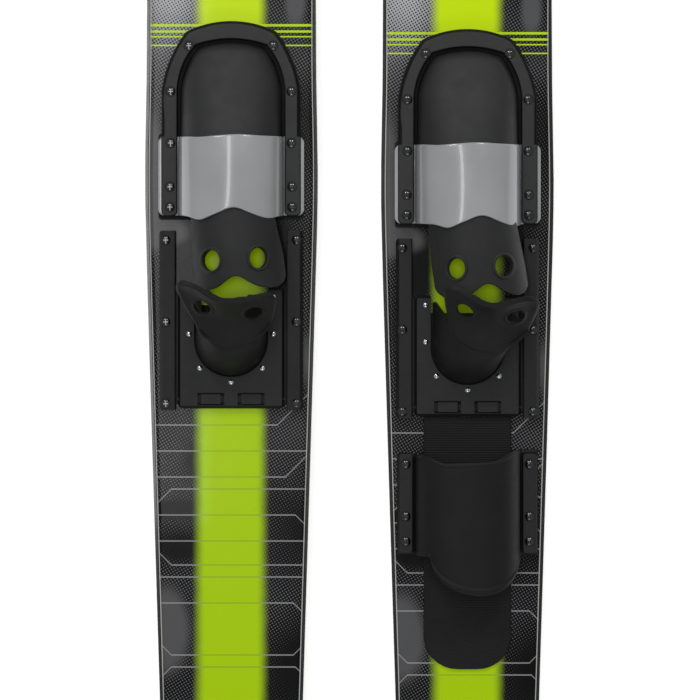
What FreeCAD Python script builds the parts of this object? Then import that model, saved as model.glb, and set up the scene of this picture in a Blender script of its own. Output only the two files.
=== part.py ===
"""A pair of adult combination water skis with their foot bindings, in millimetres.

Both skis lie side by side, deck up and tips towards +Y. Z = 0 is the lower edge of the fins.
Each ski carries a toe binding that is screwed down and a heel binding on a carriage that slides
between two rails and locks in a notch for each foot length. The right ski also has a rear toe
strap and a foot pad, so that it can be skied alone.
"""
import FreeCAD
import Part
import math
import os

V = FreeCAD.Vector

# The pair
SKI_SPACING = 236.0            # between the centre lines of the two skis
SKI_STAGGER = 8.0              # the right ski lies this much nearer the tails

# Ski body, measured from the middle of its length
SKI_LENGTH = 1702.0
WIDEST_WIDTH = 172.8
WIDEST_Y = 85.0
FOREBODY_WIDTH = 169.2
FOREBODY_BLEND = 130.0         # length over which the widest place runs into the forebody
TAIL_TAPER = 0.0308            # half width lost for each mm towards the tail
TAPER_BLEND = 40.0
TIP_TAPER_LENGTH = 430.0
TIP_SHAPE = (2.4, 0.62)        # the round end's half width is (1 - share ^ first) ^ second
TAIL_ROUND_LENGTH = 46.0
TAIL_SHAPE = (3.0, 0.5)
SKI_THICKNESS = 20.0
TAIL_THICKNESS = 12.0
TIP_THICKNESS = 10.0
TIP_CURVE_LENGTH = 470.0
TIP_RISE = 108.0
DECK_FLAT_FRONT = 262.0        # the deck is flat between these two places
DECK_FLAT_REAR = -430.0
BASE_EDGE_BEVEL = 3.0
TOP_SHEET_THICKNESS = 0.8
RIM_WIDTH = 3.0                # core left bare round the top sheet
TUNNEL_WIDTH = 84.0
TUNNEL_SIDE_SLOPE = 8.0
TUNNEL_DEPTH = 3.5
TUNNEL_FRONT = 250.0
TUNNEL_FADE = 90.0

# Fin under the tail
FIN_DEPTH = 60.0               # below the running base
FIN_ROOT_CHORD = 140.0
FIN_TIP_CHORD = 84.0
FIN_SWEEP = 40.0               # the tip's front edge lies this far behind the root's
FIN_ROOT_THICKNESS = 5.0
FIN_TIP_THICKNESS = 2.6
FIN_THICKEST = 0.42            # share of the chord behind the front edge
FIN_REAR_MARGIN = 34.0         # from the root's rear edge to the end of the tail
FIN_FLANGE_WIDTH = 34.0
FIN_FLANGE_MARGIN = 8.0        # flange beyond the blade at each end
FIN_FLANGE_THICKNESS = 3.0
FIN_FLANGE_CORNER = 8.5
FIN_SCREW_X = 10.0
FIN_SCREW_MARGIN = 7.0         # from the flange's end to its screws

# Screws, their threaded inserts and the rivets
SCREW_RADIUS = 2.4
SCREW_HEAD_RADIUS = 4.5
SCREW_HEAD_HEIGHT = 2.6
SCREW_RIM_HEIGHT = 0.9         # upright rim below the head's dome
SCREW_POINT = 0.6              # bevel at the screw's end
SCREW_BITE = 10.0              # screw length inside its insert
SCREW_CLEARANCE = 0.3          # round the shank in what it passes through
THREAD_CLEARANCE = 0.03
COUNTERBORE_CLEARANCE = 0.7
COUNTERBORE_DEPTH = 1.0
CROSS_LENGTH = 5.0
CROSS_WIDTH = 1.0
CROSS_DEPTH = 1.6
INSERT_RADIUS = 4.5
INSERT_LENGTH = 12.0
FIN_INSERT_LENGTH = 6.0
FIN_SCREW_BITE = 5.0
RIVET_RADIUS = 1.6
RIVET_HEAD_RADIUS = 3.0
RIVET_HEAD_HEIGHT = 1.7

# Toe binding. Heights here and below are above the deck
TOE_PLATE_THICKNESS = 2.5
TOE_FLANGE_THICKNESS = 3.0
BAND_THICKNESS = 2.2
FRAME_THICKNESS = 7.0
PLATE_MARGIN = 3.2             # the plate shows this far round the frame
FLANGE_MARGIN = 2.0            # the rubber shows this far round the frame
FRAME_REAR = 47.5
FRAME_EDGE_RADIUS = 1.6
FRAME_LEG_OUTER = 69.5
FRAME_SIDE_OUTER = 66.5
FRAME_INNER = 53.5
FRAME_STEP_Y = 127.0           # the legs are wider behind this place
FRAME_BEND_Y = 173.0           # the sides start to draw in here
FRAME_CORNER_OUTER = (43.0, 229.5)
FRAME_CORNER_INNER = (35.5, 218.0)
FRAME_FRONT_OUTER = 239.5
FRAME_FRONT_INNER = 224.0
FRAME_SIDE_BULGE = 4.0         # how far the drawn-in sides bow outwards
FRAME_CORNER_RADIUS = 7.0
LEG_END_RADIUS = 5.0
TOE_SCREWS = [(42.0, 217.0), (60.2, 171.5), (60.2, 120.0), (60.8, 76.5), (60.8, 56.3)]
RUBBER_WALL = 3.2
VAULT_INSET = 3.6              # from the frame's inner side to the vault
VAULT_FRONT_BOW = 13.6         # how far the vault's sides bow out where they draw in
INSTEP_HEIGHT = 60.0
TOE_HEIGHT = 17.0
VAULT_FALL = 1.8               # power of the fall in height towards the toes
VAULT_SHOULDER = 0.5           # height at which the walls turn over, as a share of the top
FLAP_REAR = -26.0
FLAP_FRONT = 60.0
FLAP_DROP = 3.0
FLAP_HALF_WIDTH = 45.5
FLAP_FRONT_HALF_WIDTH = 40.0
FLAP_CORNER_RADIUS = 18.0
FLAP_NOTCH_HALF_WIDTH = 24.0   # the flap's rear edge is arched forward in the middle
FLAP_NOTCH_DEPTH = 13.0
FLAP_SHIFT = {"left": 4.0, "right": 9.0}      # how far aside the soft flap lies
PULL_HOLE_RADIUS = 9.0
PULL_HOLE_X = 22.5
PULL_HOLE_Y = 6.0
BAND_HALF_WIDTH = 73.0
BAND_REAR = 48.0
BAND_NOTCH_HALF_WIDTH = 36.0   # its rear edge is arched forward in the middle
BAND_NOTCH_DEPTH = 9.0
BAND_RUBBER_GAP = 0.3

# Heel rails and carriage
RAIL_INNER = 55.5
RAIL_WIDTH = 16.0
RAIL_HEIGHT = 10.0
RAIL_FRONT = 33.0
RAIL_REAR = -146.0
RAIL_OUTER_BEVEL = 3.0
RAIL_INNER_BEVEL = 0.8
RAIL_CORNER_RADIUS = 3.0
GROOVE_DEPTH = 5.0
GROOVE_BOTTOM = 2.0
GROOVE_HEIGHT = 3.7
RAIL_SCREW_X = 65.2
RAIL_SCREW_FRONT = 23.5
RAIL_SCREW_SPACING = 81.5
NOTCH_PITCH = 6.0
NOTCH_COUNT = 7
NOTCH_DEPTH = 2.5
NOTCH_WIDTH = 3.0
NOTCH_HEIGHT = 2.3
SLIDE_CLEARANCE = 0.35
CARRIAGE_HALF_WIDTH = 53.0
CARRIAGE_FRONT = -24.0
CARRIAGE_REAR = -144.0
CARRIAGE_HEIGHT = 9.0
CARRIAGE_LIFT = 0.4            # carriage above the deck
CARRIAGE_BEVEL = 2.4
CARRIAGE_CORNER_RADIUS = 4.0
CUP_HALF_WIDTH = 37.0          # the U-shaped opening for the heel rubber
CUP_CENTRE_Y = -76.0
CUP_CLEARANCE = 0.3
BACKING_LIFT = 0.8
BACKING_THICKNESS = 1.2
HEEL_FLANGE_THICKNESS = 2.0
HEEL_FLANGE_REACH = 11.0       # flange beyond the opening
RIVET_OFFSET = 5.0             # rivets outside the opening
RIVET_SIDE_Y = (-33.0, -70.0)
RIVET_BACK_ANGLE = 48.0

# Latches that lock the carriage in a notch
LATCH_Y = -135.0
LATCH_BAR_WIDTH = 8.4
LATCH_BAR_START = 10.0
LATCH_BAR_END = 49.7
LATCH_BAR_TOP = 7.7
LATCH_CLEARANCE = 0.3
LATCH_NOSE_WIDTH = 2.4
LATCH_NOSE_THICKNESS = 1.6
LATCH_NOSE_BITE = 2.0          # nose inside the notch
LATCH_TRAVEL = 3.0
TAB_X = 20.0
TAB_WIDTH = 20.0
TAB_LENGTH = 10.0
TAB_HEIGHT = 1.2               # above the carriage
TAB_LIFT = 0.2                 # tab above its bar
TAB_CLEARANCE = 0.4            # beyond the latch's travel
TAB_MARGIN_Y = 1.2
TAB_CORNER_RADIUS = 0.8
TAB_EDGE_RADIUS = 0.4
TAB_NECK_LENGTH = 13.3         # what joins the tab to its bar
TAB_STEP = 0.9                 # the right tab's front half is lower by this
TAB_STEP_MARGIN = 1.6          # raised edge left round the step
TAB_STEP_LENGTH = 4.4
POCKET_FLOOR = 4.0             # the tab's pocket goes down to this height
CENTRE_POST_HALF_WIDTH = 1.5
SPRING_STRIP = 0.5
SPRING_HALF_WIDTH = 3.2
SPRING_BENDS = 6
SPRING_GAP = 0.25

# Heel rubber
HEEL_WALL = 4.2
HEEL_FRONT = -30.0
HEEL_HOLE_RADIUS = 8.0
HEEL_HOLE_X = 27.0             # finger holes in the collar
HEEL_HOLE_Y = -42.0
HEEL_HOLE_Z = 84.0
HEEL_LEAN = {"left": -7.0, "right": 21.0}     # how far aside the soft collar lies
HEEL_TWIST = {"left": 7.0, "right": 9.0}      # degrees, left side forward

# Rear toe strap and foot pad, on the right ski alone
STRAP_BAR_X = 61.7
STRAP_BAR_WIDTH = 14.4
STRAP_BAR_HEIGHT = 6.5
STRAP_BAR_FRONT = -181.0
STRAP_BAR_REAR = -281.0
STRAP_BAR_CORNER = 3.5
STRAP_SCREW_Y = (-192.0, -244.0, -269.0)
STRAP_FLANGE_MARGIN = 1.6
STRAP_WALL = 3.2
STRAP_HALF_WIDTH = 52.5
STRAP_HEIGHT = 47.0
STRAP_HOLLOW = 9.0             # its front edge is hollowed this much
STRAP_TONGUE = 38.0            # its middle reaches this far behind its sides
STRAP_TONGUE_HALF_WIDTH = 45.0
PAD_HALF_WIDTH = 43.8
PAD_FRONT = -145.5
PAD_REAR = -397.0
PAD_END_RADIUS = 34.0
PAD_THICKNESS = 3.0

HALF_LENGTH = SKI_LENGTH / 2
FRAME_SEAT = TOE_PLATE_THICKNESS + TOE_FLANGE_THICKNESS
FRAME_TOP = FRAME_SEAT + FRAME_THICKNESS
FLANGE_TOP = BACKING_LIFT + BACKING_THICKNESS + HEEL_FLANGE_THICKNESS
TUNNEL_ROOF = TUNNEL_DEPTH - SKI_THICKNESS
JOIN_OVERLAP = 0.5             # how far solids run into each other where they are fused
ABOVE = 120.0                  # higher than anything on the deck


def line(p, q):
    return Part.LineSegment(p, q).toShape()


def arc(p, middle, q):
    return Part.Arc(p, middle, q).toShape()


def face_of(edges):
    """A flat face bounded by these edges, taken in order."""
    return Part.Face(Part.Wire(edges))


def prism(face, low, high):
    """The solid over a face of the XY plane, from one height to another."""
    solid = face.extrude(V(0, 0, high - low))
    solid.translate(V(0, 0, low))
    return solid


def along_y(points, y0, y1):
    """A bar along Y whose section has these (x, z) corners."""
    corners = [V(x, y0, z) for x, z in points]
    return Part.Face(Part.makePolygon(corners + corners[:1])).extrude(V(0, y1 - y0, 0))


def block(x0, x1, y0, y1, z0, z1):
    return Part.makeBox(x1 - x0, y1 - y0, z1 - z0, V(x0, y0, z0))


def posts(radius, places, z0, z1):
    """An upright cylinder at each place, as one compound."""
    return Part.makeCompound([Part.makeCylinder(radius, z1 - z0, V(x, y, z0)) for x, y in places])


def mirrored(shape):
    """The same piece on the other side of the ski's centre line."""
    return shape.mirror(V(0, 0, 0), V(1, 0, 0))


def both_sides(points):
    """Points at +x and at -x."""
    return [(x, y) for x, y in points] + [(-x, y) for x, y in points]


def upright_edges(solid, chosen):
    """The upright straight edges whose place chosen(x, y) accepts."""
    boxes = [(edge, edge.BoundBox) for edge in solid.Edges]
    thin = [(edge, box) for edge, box in boxes if max(box.XLength, box.YLength) < 1e-3]
    return [edge for edge, box in thin if chosen(box.Center.x, box.Center.y)]


def edges_at(solid, height):
    """The edges that lie wholly at one height."""
    return [edge for edge in solid.Edges
            if max(abs(edge.BoundBox.ZMin - height), abs(edge.BoundBox.ZMax - height)) < 1e-3]


# Fasteners

def dome(radius, foot, height):
    """The quarter outline of a low dome: an arc from its rim to the middle of its top."""
    ball = (radius ** 2 + height ** 2) / (2 * height)
    x = radius / 2
    return arc(V(radius, 0, foot), V(x, 0, foot + height - ball + math.sqrt(ball ** 2 - x ** 2)),
               V(0, 0, foot + height))


def pan_head_screw(x, y, seat, length):
    """A cross-headed screw whose head stands on the height called seat."""
    r, h = SCREW_HEAD_RADIUS, SCREW_HEAD_HEIGHT
    rim, tip, point = seat + SCREW_RIM_HEIGHT, seat - length, SCREW_POINT
    outline = face_of([
        line(V(0, 0, tip), V(SCREW_RADIUS - point, 0, tip)),
        line(V(SCREW_RADIUS - point, 0, tip), V(SCREW_RADIUS, 0, tip + point)),
        line(V(SCREW_RADIUS, 0, tip + point), V(SCREW_RADIUS, 0, seat)),
        line(V(SCREW_RADIUS, 0, seat), V(r, 0, seat)),
        line(V(r, 0, seat), V(r, 0, rim)),
        dome(r, rim, seat + h - rim),
        line(V(0, 0, seat + h), V(0, 0, tip))])
    screw = outline.revolve(V(0, 0, 0), V(0, 0, 1), 360)
    for along, across in ((CROSS_LENGTH, CROSS_WIDTH), (CROSS_WIDTH, CROSS_LENGTH)):
        screw = screw.cut(block(-along / 2, along / 2, -across / 2, across / 2,
                                seat + h - CROSS_DEPTH, seat + h + 1))
    screw.translate(V(x, y, 0))
    return screw


def pan_head_screws(places, seat):
    """Screws at each place, from their seat down into the inserts."""
    length = seat + TOP_SHEET_THICKNESS + SCREW_BITE
    return Part.makeCompound([pan_head_screw(x, y, seat, length) for x, y in places])


def inserts(places, top, length):
    """Brass sleeves that the screws bite into."""
    sleeves = posts(INSERT_RADIUS, places, top - length, top)
    return Part.makeCompound([sleeve.cut(posts(SCREW_RADIUS + THREAD_CLEARANCE, [place], top - length, top))
                              for sleeve, place in zip(sleeves.Solids, places)])


def drilled(solid, places, low=-ABOVE, high=ABOVE):
    """The solid with a clearance hole for a screw at each place."""
    return solid.cut(posts(SCREW_RADIUS + SCREW_CLEARANCE, places, low, high))


def counterbored(solid, places, top):
    """The solid with a shallow round seat for each screw head, and its hole."""
    seats = posts(SCREW_HEAD_RADIUS + COUNTERBORE_CLEARANCE, places, top - COUNTERBORE_DEPTH, top + 1)
    return drilled(solid.cut(seats), places)


# Ski body

def half_width(y):
    """Half the ski's width: a long taper to the tail, a slight bulge under the foot, a round tip."""
    behind = y - WIDEST_Y
    if behind < 0:
        half = WIDEST_WIDTH / 2 - TAIL_TAPER * (math.hypot(behind, TAPER_BLEND) - TAPER_BLEND)
    else:
        share = min(1.0, behind / FOREBODY_BLEND)
        half = (WIDEST_WIDTH - (WIDEST_WIDTH - FOREBODY_WIDTH) * share ** 2 * (3 - 2 * share)) / 2
    tip_share = max(0.0, (y - HALF_LENGTH + TIP_TAPER_LENGTH) / TIP_TAPER_LENGTH)
    tail_share = max(0.0, (TAIL_ROUND_LENGTH - HALF_LENGTH - y) / TAIL_ROUND_LENGTH)
    half *= max(0.0, 1 - tip_share ** TIP_SHAPE[0]) ** TIP_SHAPE[1]
    return half * max(0.0, 1 - tail_share ** TAIL_SHAPE[0]) ** TAIL_SHAPE[1]


def smooth(points, start=None, end=None):
    """One smooth edge through points of the XY plane, leaving and arriving in given directions."""
    spline = Part.BSplineCurve()
    if start:
        spline.interpolate(points, InitialTangent=V(*start), FinalTangent=V(*end))
    else:
        spline.interpolate(points)
    return spline.toShape()


def ski_outline(inset):
    """The ski's outline as a flat face, drawn in by an inset on every side."""
    wide, long = 1 - 2 * inset / WIDEST_WIDTH, 1 - 2 * inset / SKI_LENGTH
    at = lambda y: V(half_width(y) * wide, y * long, 0)
    flip = lambda p: V(-p.x, p.y, 0)
    round_end = TAIL_ROUND_LENGTH - HALF_LENGTH
    tail = [at(round_end - TAIL_ROUND_LENGTH * math.sin(math.radians(a))) for a in (90, 67, 48, 32, 16, 0)]
    rear = [WIDEST_Y - share * (WIDEST_Y - round_end) for share in (1, 0.83, 0.63, 0.43, 0.23, 0.1, 0.03, 0)]
    fore = [WIDEST_Y + share * FOREBODY_BLEND for share in (0.27, 0.62, 1)]
    nose = [HALF_LENGTH - TIP_TAPER_LENGTH * (1 - math.sin(math.radians(a)))
            for a in (8, 20, 33, 46, 58, 68, 76, 82, 86.5, 90)]
    side = [at(y) for y in rear + fore + [(fore[-1] + nose[0]) / 2] + nose]
    return face_of([smooth(tail, (1, 0, 0), (0, 1, 0)), smooth(side),
                    smooth([flip(p) for p in side[::-1]]),
                    smooth([flip(p) for p in tail[::-1]], (0, -1, 0), (1, 0, 0))])


def base_height(y):
    """Height of the running base: flat, then an arc up to the tip."""
    radius = (TIP_CURVE_LENGTH ** 2 + TIP_RISE ** 2) / (2 * TIP_RISE)
    run = max(0.0, y - HALF_LENGTH + TIP_CURVE_LENGTH)
    return radius - math.sqrt(radius ** 2 - run ** 2) - SKI_THICKNESS


def deck_height(y):
    """Height of the deck in front of its flat part."""
    share = max(0.0, y - DECK_FLAT_FRONT) / (HALF_LENGTH - DECK_FLAT_FRONT)
    return base_height(y) + SKI_THICKNESS - (SKI_THICKNESS - TIP_THICKNESS) * share


def side_profile(sunk):
    """The ski seen from the side, as a solid wider than the ski, its upper line sunk by this much."""
    x, far = -WIDEST_WIDTH, HALF_LENGTH + 1
    rise = HALF_LENGTH - TIP_CURVE_LENGTH
    halfway = rise + TIP_CURVE_LENGTH / 2
    at = lambda y, z: V(x, y, z)
    tail_top = TAIL_THICKNESS - SKI_THICKNESS - sunk
    upper = Part.BSplineCurve()
    stations = [DECK_FLAT_FRONT + share * (far - DECK_FLAT_FRONT)
                for share in (0, 0.1, 0.24, 0.39, 0.59, 0.8, 1)]
    upper.interpolate([at(y, deck_height(y) - sunk) for y in stations])
    face = face_of([
        line(at(-far, -SKI_THICKNESS), at(rise, -SKI_THICKNESS)),
        arc(at(rise, -SKI_THICKNESS), at(halfway, base_height(halfway)), at(far, base_height(far))),
        line(at(far, base_height(far)), at(far, deck_height(far) - sunk)),
        upper.toShape(),
        line(at(DECK_FLAT_FRONT, -sunk), at(DECK_FLAT_REAR, -sunk)),
        line(at(DECK_FLAT_REAR, -sunk), at(-far, tail_top)),
        line(at(-far, tail_top), at(-far, -SKI_THICKNESS))])
    return face.extrude(V(2 * WIDEST_WIDTH, 0, 0))


def tunnel():
    """The shallow channel along the base, open at the tail and fading out under the foot."""
    low, roof = -SKI_THICKNESS - 1, TUNNEL_ROOF
    half, slope = TUNNEL_WIDTH / 2, TUNNEL_SIDE_SLOPE * (1 + 1 / TUNNEL_DEPTH)
    flat = half - TUNNEL_SIDE_SLOPE
    channel = along_y([(-flat, roof), (flat, roof), (flat + slope, low), (-flat - slope, low)],
                      -HALF_LENGTH - 2, TUNNEL_FRONT)
    fade = TUNNEL_FADE / TUNNEL_DEPTH
    ramp = Part.Face(Part.makePolygon([
        V(-half, TUNNEL_FRONT - TUNNEL_FADE, roof), V(-half, TUNNEL_FRONT + fade, low),
        V(-half, TUNNEL_FRONT + fade, roof + 1), V(-half, TUNNEL_FRONT - TUNNEL_FADE, roof + 1),
        V(-half, TUNNEL_FRONT - TUNNEL_FADE, roof)])).extrude(V(TUNNEL_WIDTH, 0, 0))
    ramp = ramp.fuse(ramp.translated(V(-half, 0, 0))).fuse(ramp.translated(V(half, 0, 0)))
    return channel.cut(ramp)


def fin_screw_places():
    centre = fin_centre()
    reach = FIN_ROOT_CHORD / 2 + FIN_FLANGE_MARGIN - FIN_SCREW_MARGIN
    return both_sides([(FIN_SCREW_X, centre - reach), (FIN_SCREW_X, centre + reach)])


def fin_centre():
    return FIN_REAR_MARGIN + FIN_ROOT_CHORD / 2 - HALF_LENGTH


def ski_core(deck_places):
    """Foam core and moulded skin as one body, with seats for the inserts."""
    bevel_top = BASE_EDGE_BEVEL - SKI_THICKNESS
    low, high = ski_outline(BASE_EDGE_BEVEL), ski_outline(0)
    low.translate(V(0, 0, -SKI_THICKNESS))
    high.translate(V(0, 0, bevel_top))
    body = Part.makeLoft([low.OuterWire, high.OuterWire], True, True)
    body = body.fuse(prism(ski_outline(0), bevel_top, 2 * ABOVE))
    core = body.common(side_profile(TOP_SHEET_THICKNESS))
    core = core.cut(tunnel())
    core = core.cut(posts(INSERT_RADIUS, deck_places, -TOP_SHEET_THICKNESS - INSERT_LENGTH, 0))
    return core.cut(posts(INSERT_RADIUS, fin_screw_places(), -SKI_THICKNESS, TUNNEL_ROOF + FIN_INSERT_LENGTH))


def top_sheet(deck_places):
    """The printed sheet bonded to the deck, a little smaller than the ski."""
    skin = side_profile(0).cut(side_profile(TOP_SHEET_THICKNESS))
    return drilled(prism(ski_outline(RIM_WIDTH), -2 * ABOVE, 2 * ABOVE).common(skin), deck_places)


def fin():
    """The moulded fin: a swept tapering blade on a flange that fits in the tunnel."""
    centre, roof = fin_centre(), TUNNEL_ROOF
    foot, tip = roof - FIN_FLANGE_THICKNESS, -SKI_THICKNESS - FIN_DEPTH
    front, rear = centre + FIN_ROOT_CHORD / 2, centre - FIN_ROOT_CHORD / 2

    def blade_section(nose, chord, thick, height):
        """A lens-shaped section, sharp at both ends."""
        ends = V(0, nose, height), V(0, nose - chord, height)
        middle = nose - FIN_THICKEST * chord
        return Part.Wire([arc(ends[0], V(thick / 2, middle, height), ends[1]),
                          arc(ends[1], V(-thick / 2, middle, height), ends[0])])

    blade = Part.makeLoft([
        blade_section(front, FIN_ROOT_CHORD, FIN_ROOT_THICKNESS, foot + JOIN_OVERLAP),
        blade_section(front - FIN_SWEEP, FIN_TIP_CHORD, FIN_TIP_THICKNESS, tip)], True, True)
    flange = block(-FIN_FLANGE_WIDTH / 2, FIN_FLANGE_WIDTH / 2,
                   rear - FIN_FLANGE_MARGIN, front + FIN_FLANGE_MARGIN, foot, roof)
    flange = flange.makeFillet(FIN_FLANGE_CORNER, upright_edges(flange, lambda x, y: True))
    for x, y in fin_screw_places():
        cone = Part.makeCone(SCREW_HEAD_RADIUS + SCREW_CLEARANCE, SCREW_RADIUS + SCREW_CLEARANCE,
                             SCREW_HEAD_RADIUS - SCREW_RADIUS, V(x, y, foot))
        flange = flange.cut(cone)
    return drilled(flange, fin_screw_places()).fuse(blade)


def fin_screws():
    """Countersunk screws driven up through the fin's flange."""
    foot = TUNNEL_ROOF - FIN_FLANGE_THICKNESS
    length = FIN_FLANGE_THICKNESS + FIN_SCREW_BITE
    made = []
    for x, y in fin_screw_places():
        head = Part.makeCone(SCREW_HEAD_RADIUS, SCREW_RADIUS, SCREW_HEAD_RADIUS - SCREW_RADIUS, V(x, y, foot))
        screw = head.fuse(Part.makeCylinder(SCREW_RADIUS, length, V(x, y, foot)))
        for long, wide in ((CROSS_LENGTH, CROSS_WIDTH), (CROSS_WIDTH, CROSS_LENGTH)):
            screw = screw.cut(block(x - long / 2, x + long / 2, y - wide / 2, y + wide / 2,
                                    foot - 1, foot + CROSS_DEPTH))
        made.append(screw)
    return Part.makeCompound(made)


# Toe binding

def horseshoe(side, corner, front):
    """A face with straight sides through points, bowed shoulders up to two corners and a round front."""
    right = [V(x, y, 0) for x, y in side]
    top = V(corner[0], corner[1], 0)
    run = top - right[-1]
    bow = (right[-1] + top) * 0.5 + V(run.y, -run.x, 0).normalize() * FRAME_SIDE_BULGE
    flip = lambda p: V(-p.x, p.y, 0)
    edges = [line(p, q) for p, q in zip(right, right[1:])]
    edges += [arc(right[-1], bow, top), arc(top, V(0, front, 0), flip(top)),
              arc(flip(top), flip(bow), flip(right[-1]))]
    edges += [line(flip(q), flip(p)) for p, q in reversed(list(zip(right, right[1:])))]
    return face_of(edges + [line(flip(right[0]), right[0])])


def frame_outline(rear):
    side = [(FRAME_LEG_OUTER, rear), (FRAME_LEG_OUTER, FRAME_STEP_Y),
            (FRAME_SIDE_OUTER, FRAME_STEP_Y), (FRAME_SIDE_OUTER, FRAME_BEND_Y)]
    return horseshoe(side, FRAME_CORNER_OUTER, FRAME_FRONT_OUTER)


def frame_opening(rear):
    side = [(FRAME_INNER, rear), (FRAME_INNER, FRAME_BEND_Y)]
    return horseshoe(side, FRAME_CORNER_INNER, FRAME_FRONT_INNER)


def opening_half_width(y):
    """Half the width of the frame's opening at y."""
    share = max(0.0, (y - FRAME_BEND_Y) / (FRAME_CORNER_INNER[1] - FRAME_BEND_Y))
    drawn_in = (FRAME_INNER - FRAME_CORNER_INNER[0]) * share
    return FRAME_INNER - drawn_in + VAULT_FRONT_BOW * share * (1 - share)


def toe_plate():
    """The plate under the toe binding."""
    return drilled(prism(frame_outline(FRAME_REAR).makeOffset2D(PLATE_MARGIN), 0, TOE_PLATE_THICKNESS),
                   both_sides(TOE_SCREWS))


def vault_stations(shift):
    """(y, centre x, half width, top height) of the rubber's arch, from the flap's end to the toes."""
    front = FRAME_CORNER_INNER[1]
    places = [FLAP_REAR - JOIN_OVERLAP, (FLAP_REAR + FRAME_REAR) / 2]
    places += [FRAME_REAR + share * (front - FRAME_REAR) for share in (0.0, 0.3, 0.56, 0.76, 0.9, 1.0)]
    made = []
    for y in places:
        share = max(0.0, (y - FRAME_REAR) / (front - FRAME_REAR))
        flap = max(0.0, (FRAME_REAR - y) / (FRAME_REAR - FLAP_REAR))
        top = INSTEP_HEIGHT - (INSTEP_HEIGHT - TOE_HEIGHT) * share ** VAULT_FALL - FLAP_DROP * flap
        made.append((y, shift * flap, opening_half_width(y) - VAULT_INSET, top))
    return made


def arch_solid(stations, grow, foot):
    """A loft through arches: upright sides up to a shoulder, and one arc over the top.

    Every arch is grown outwards and upwards by the same amount."""
    wires = []
    for y, x, half, top in stations:
        half, shoulder, crown = half + grow, VAULT_SHOULDER * top, top + grow
        p = [V(x - half, y, foot), V(x - half, y, shoulder), V(x, y, crown),
             V(x + half, y, shoulder), V(x + half, y, foot)]
        wires.append(Part.Wire([line(p[0], p[1]), arc(p[1], p[2], p[3]), line(p[3], p[4]), line(p[4], p[0])]))
    return Part.makeLoft(wires, True, False)


def flap_outline(shift):
    """The flap behind the instep seen from above: widest over the heel, two lobes at its end."""
    out, rear, notch = FLAP_HALF_WIDTH, FLAP_REAR, FLAP_NOTCH_HALF_WIDTH
    p = [V(FLAP_FRONT_HALF_WIDTH, FLAP_FRONT, 0), V(out, PULL_HOLE_Y, 0), V(out, rear, 0),
         V(notch, rear, 0), V(0, rear + FLAP_NOTCH_DEPTH, 0)]
    flip = lambda q: V(-q.x, q.y, 0)
    face = face_of([line(p[0], p[1]), line(p[1], p[2]), line(p[2], p[3]), arc(p[3], p[4], flip(p[3])),
                    line(flip(p[3]), flip(p[2])), line(flip(p[2]), flip(p[1])), line(flip(p[1]), flip(p[0])),
                    line(flip(p[0]), p[0])])
    face.translate(V(shift, 0, 0))
    return face


def toe_rubber(shift):
    """Flange, vault over the foot and the flap behind it, moulded in one."""
    stations = vault_stations(shift)
    outer = arch_solid(stations, 0, TOE_PLATE_THICKNESS)
    front = FRAME_CORNER_INNER[1]
    inner = arch_solid(stations, -RUBBER_WALL, TOE_PLATE_THICKNESS - 1)
    inner = inner.cut(block(-ABOVE, ABOVE, front - RUBBER_WALL, front + ABOVE, -ABOVE, ABOVE))
    shell = outer.cut(inner)
    vault = shell.common(block(-ABOVE, ABOVE, FRAME_REAR, front + 1, 0, ABOVE))
    flap = prism(flap_outline(shift), VAULT_SHOULDER * INSTEP_HEIGHT, ABOVE)
    flap = flap.makeFillet(FLAP_CORNER_RADIUS, upright_edges(
        flap, lambda x, y: abs(y - FLAP_REAR) < 1e-3 and abs(x - shift) > FLAP_HALF_WIDTH - 1e-3))
    flap = shell.common(flap).cut(block(-ABOVE, ABOVE, FRAME_REAR, ABOVE, 0, ABOVE))
    holes = [(shift + side * PULL_HOLE_X, PULL_HOLE_Y) for side in (-1, 1)]
    flap = flap.cut(posts(PULL_HOLE_RADIUS, holes, 0, ABOVE))
    flange = prism(frame_outline(FRAME_REAR).makeOffset2D(FLANGE_MARGIN), TOE_PLATE_THICKNESS, FRAME_SEAT)
    flange = drilled(flange.cut(inner), both_sides(TOE_SCREWS), 0, FRAME_TOP)
    return flange.fuse([vault, flap]).removeSplitter()


def instep_band(shift):
    """The stiff glossy band over the instep, its edges clamped under the frame's legs."""
    stations = vault_stations(shift)
    low, high = FRAME_SEAT, FRAME_SEAT + BAND_THICKNESS
    over = arch_solid(stations, BAND_RUBBER_GAP + BAND_THICKNESS, low)
    under = arch_solid(stations, BAND_RUBBER_GAP, low - 1)
    plate = block(-BAND_HALF_WIDTH, BAND_HALF_WIDTH, BAND_REAR, FRAME_STEP_Y, low, high)
    plate = plate.makeFillet(LEG_END_RADIUS, upright_edges(plate, lambda x, y: True))
    arch = over.common(block(-ABOVE, ABOVE, BAND_REAR, FRAME_STEP_Y, low, ABOVE))
    ends = [V(side * BAND_NOTCH_HALF_WIDTH, BAND_REAR, 0) for side in (-1, 1)]
    notch = face_of([arc(ends[0], V(0, BAND_REAR + BAND_NOTCH_DEPTH, 0), ends[1]), line(ends[1], ends[0])])
    band = plate.fuse(arch).cut(under).cut(prism(notch, 0, ABOVE))
    return drilled(band, both_sides(TOE_SCREWS)).removeSplitter()


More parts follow.
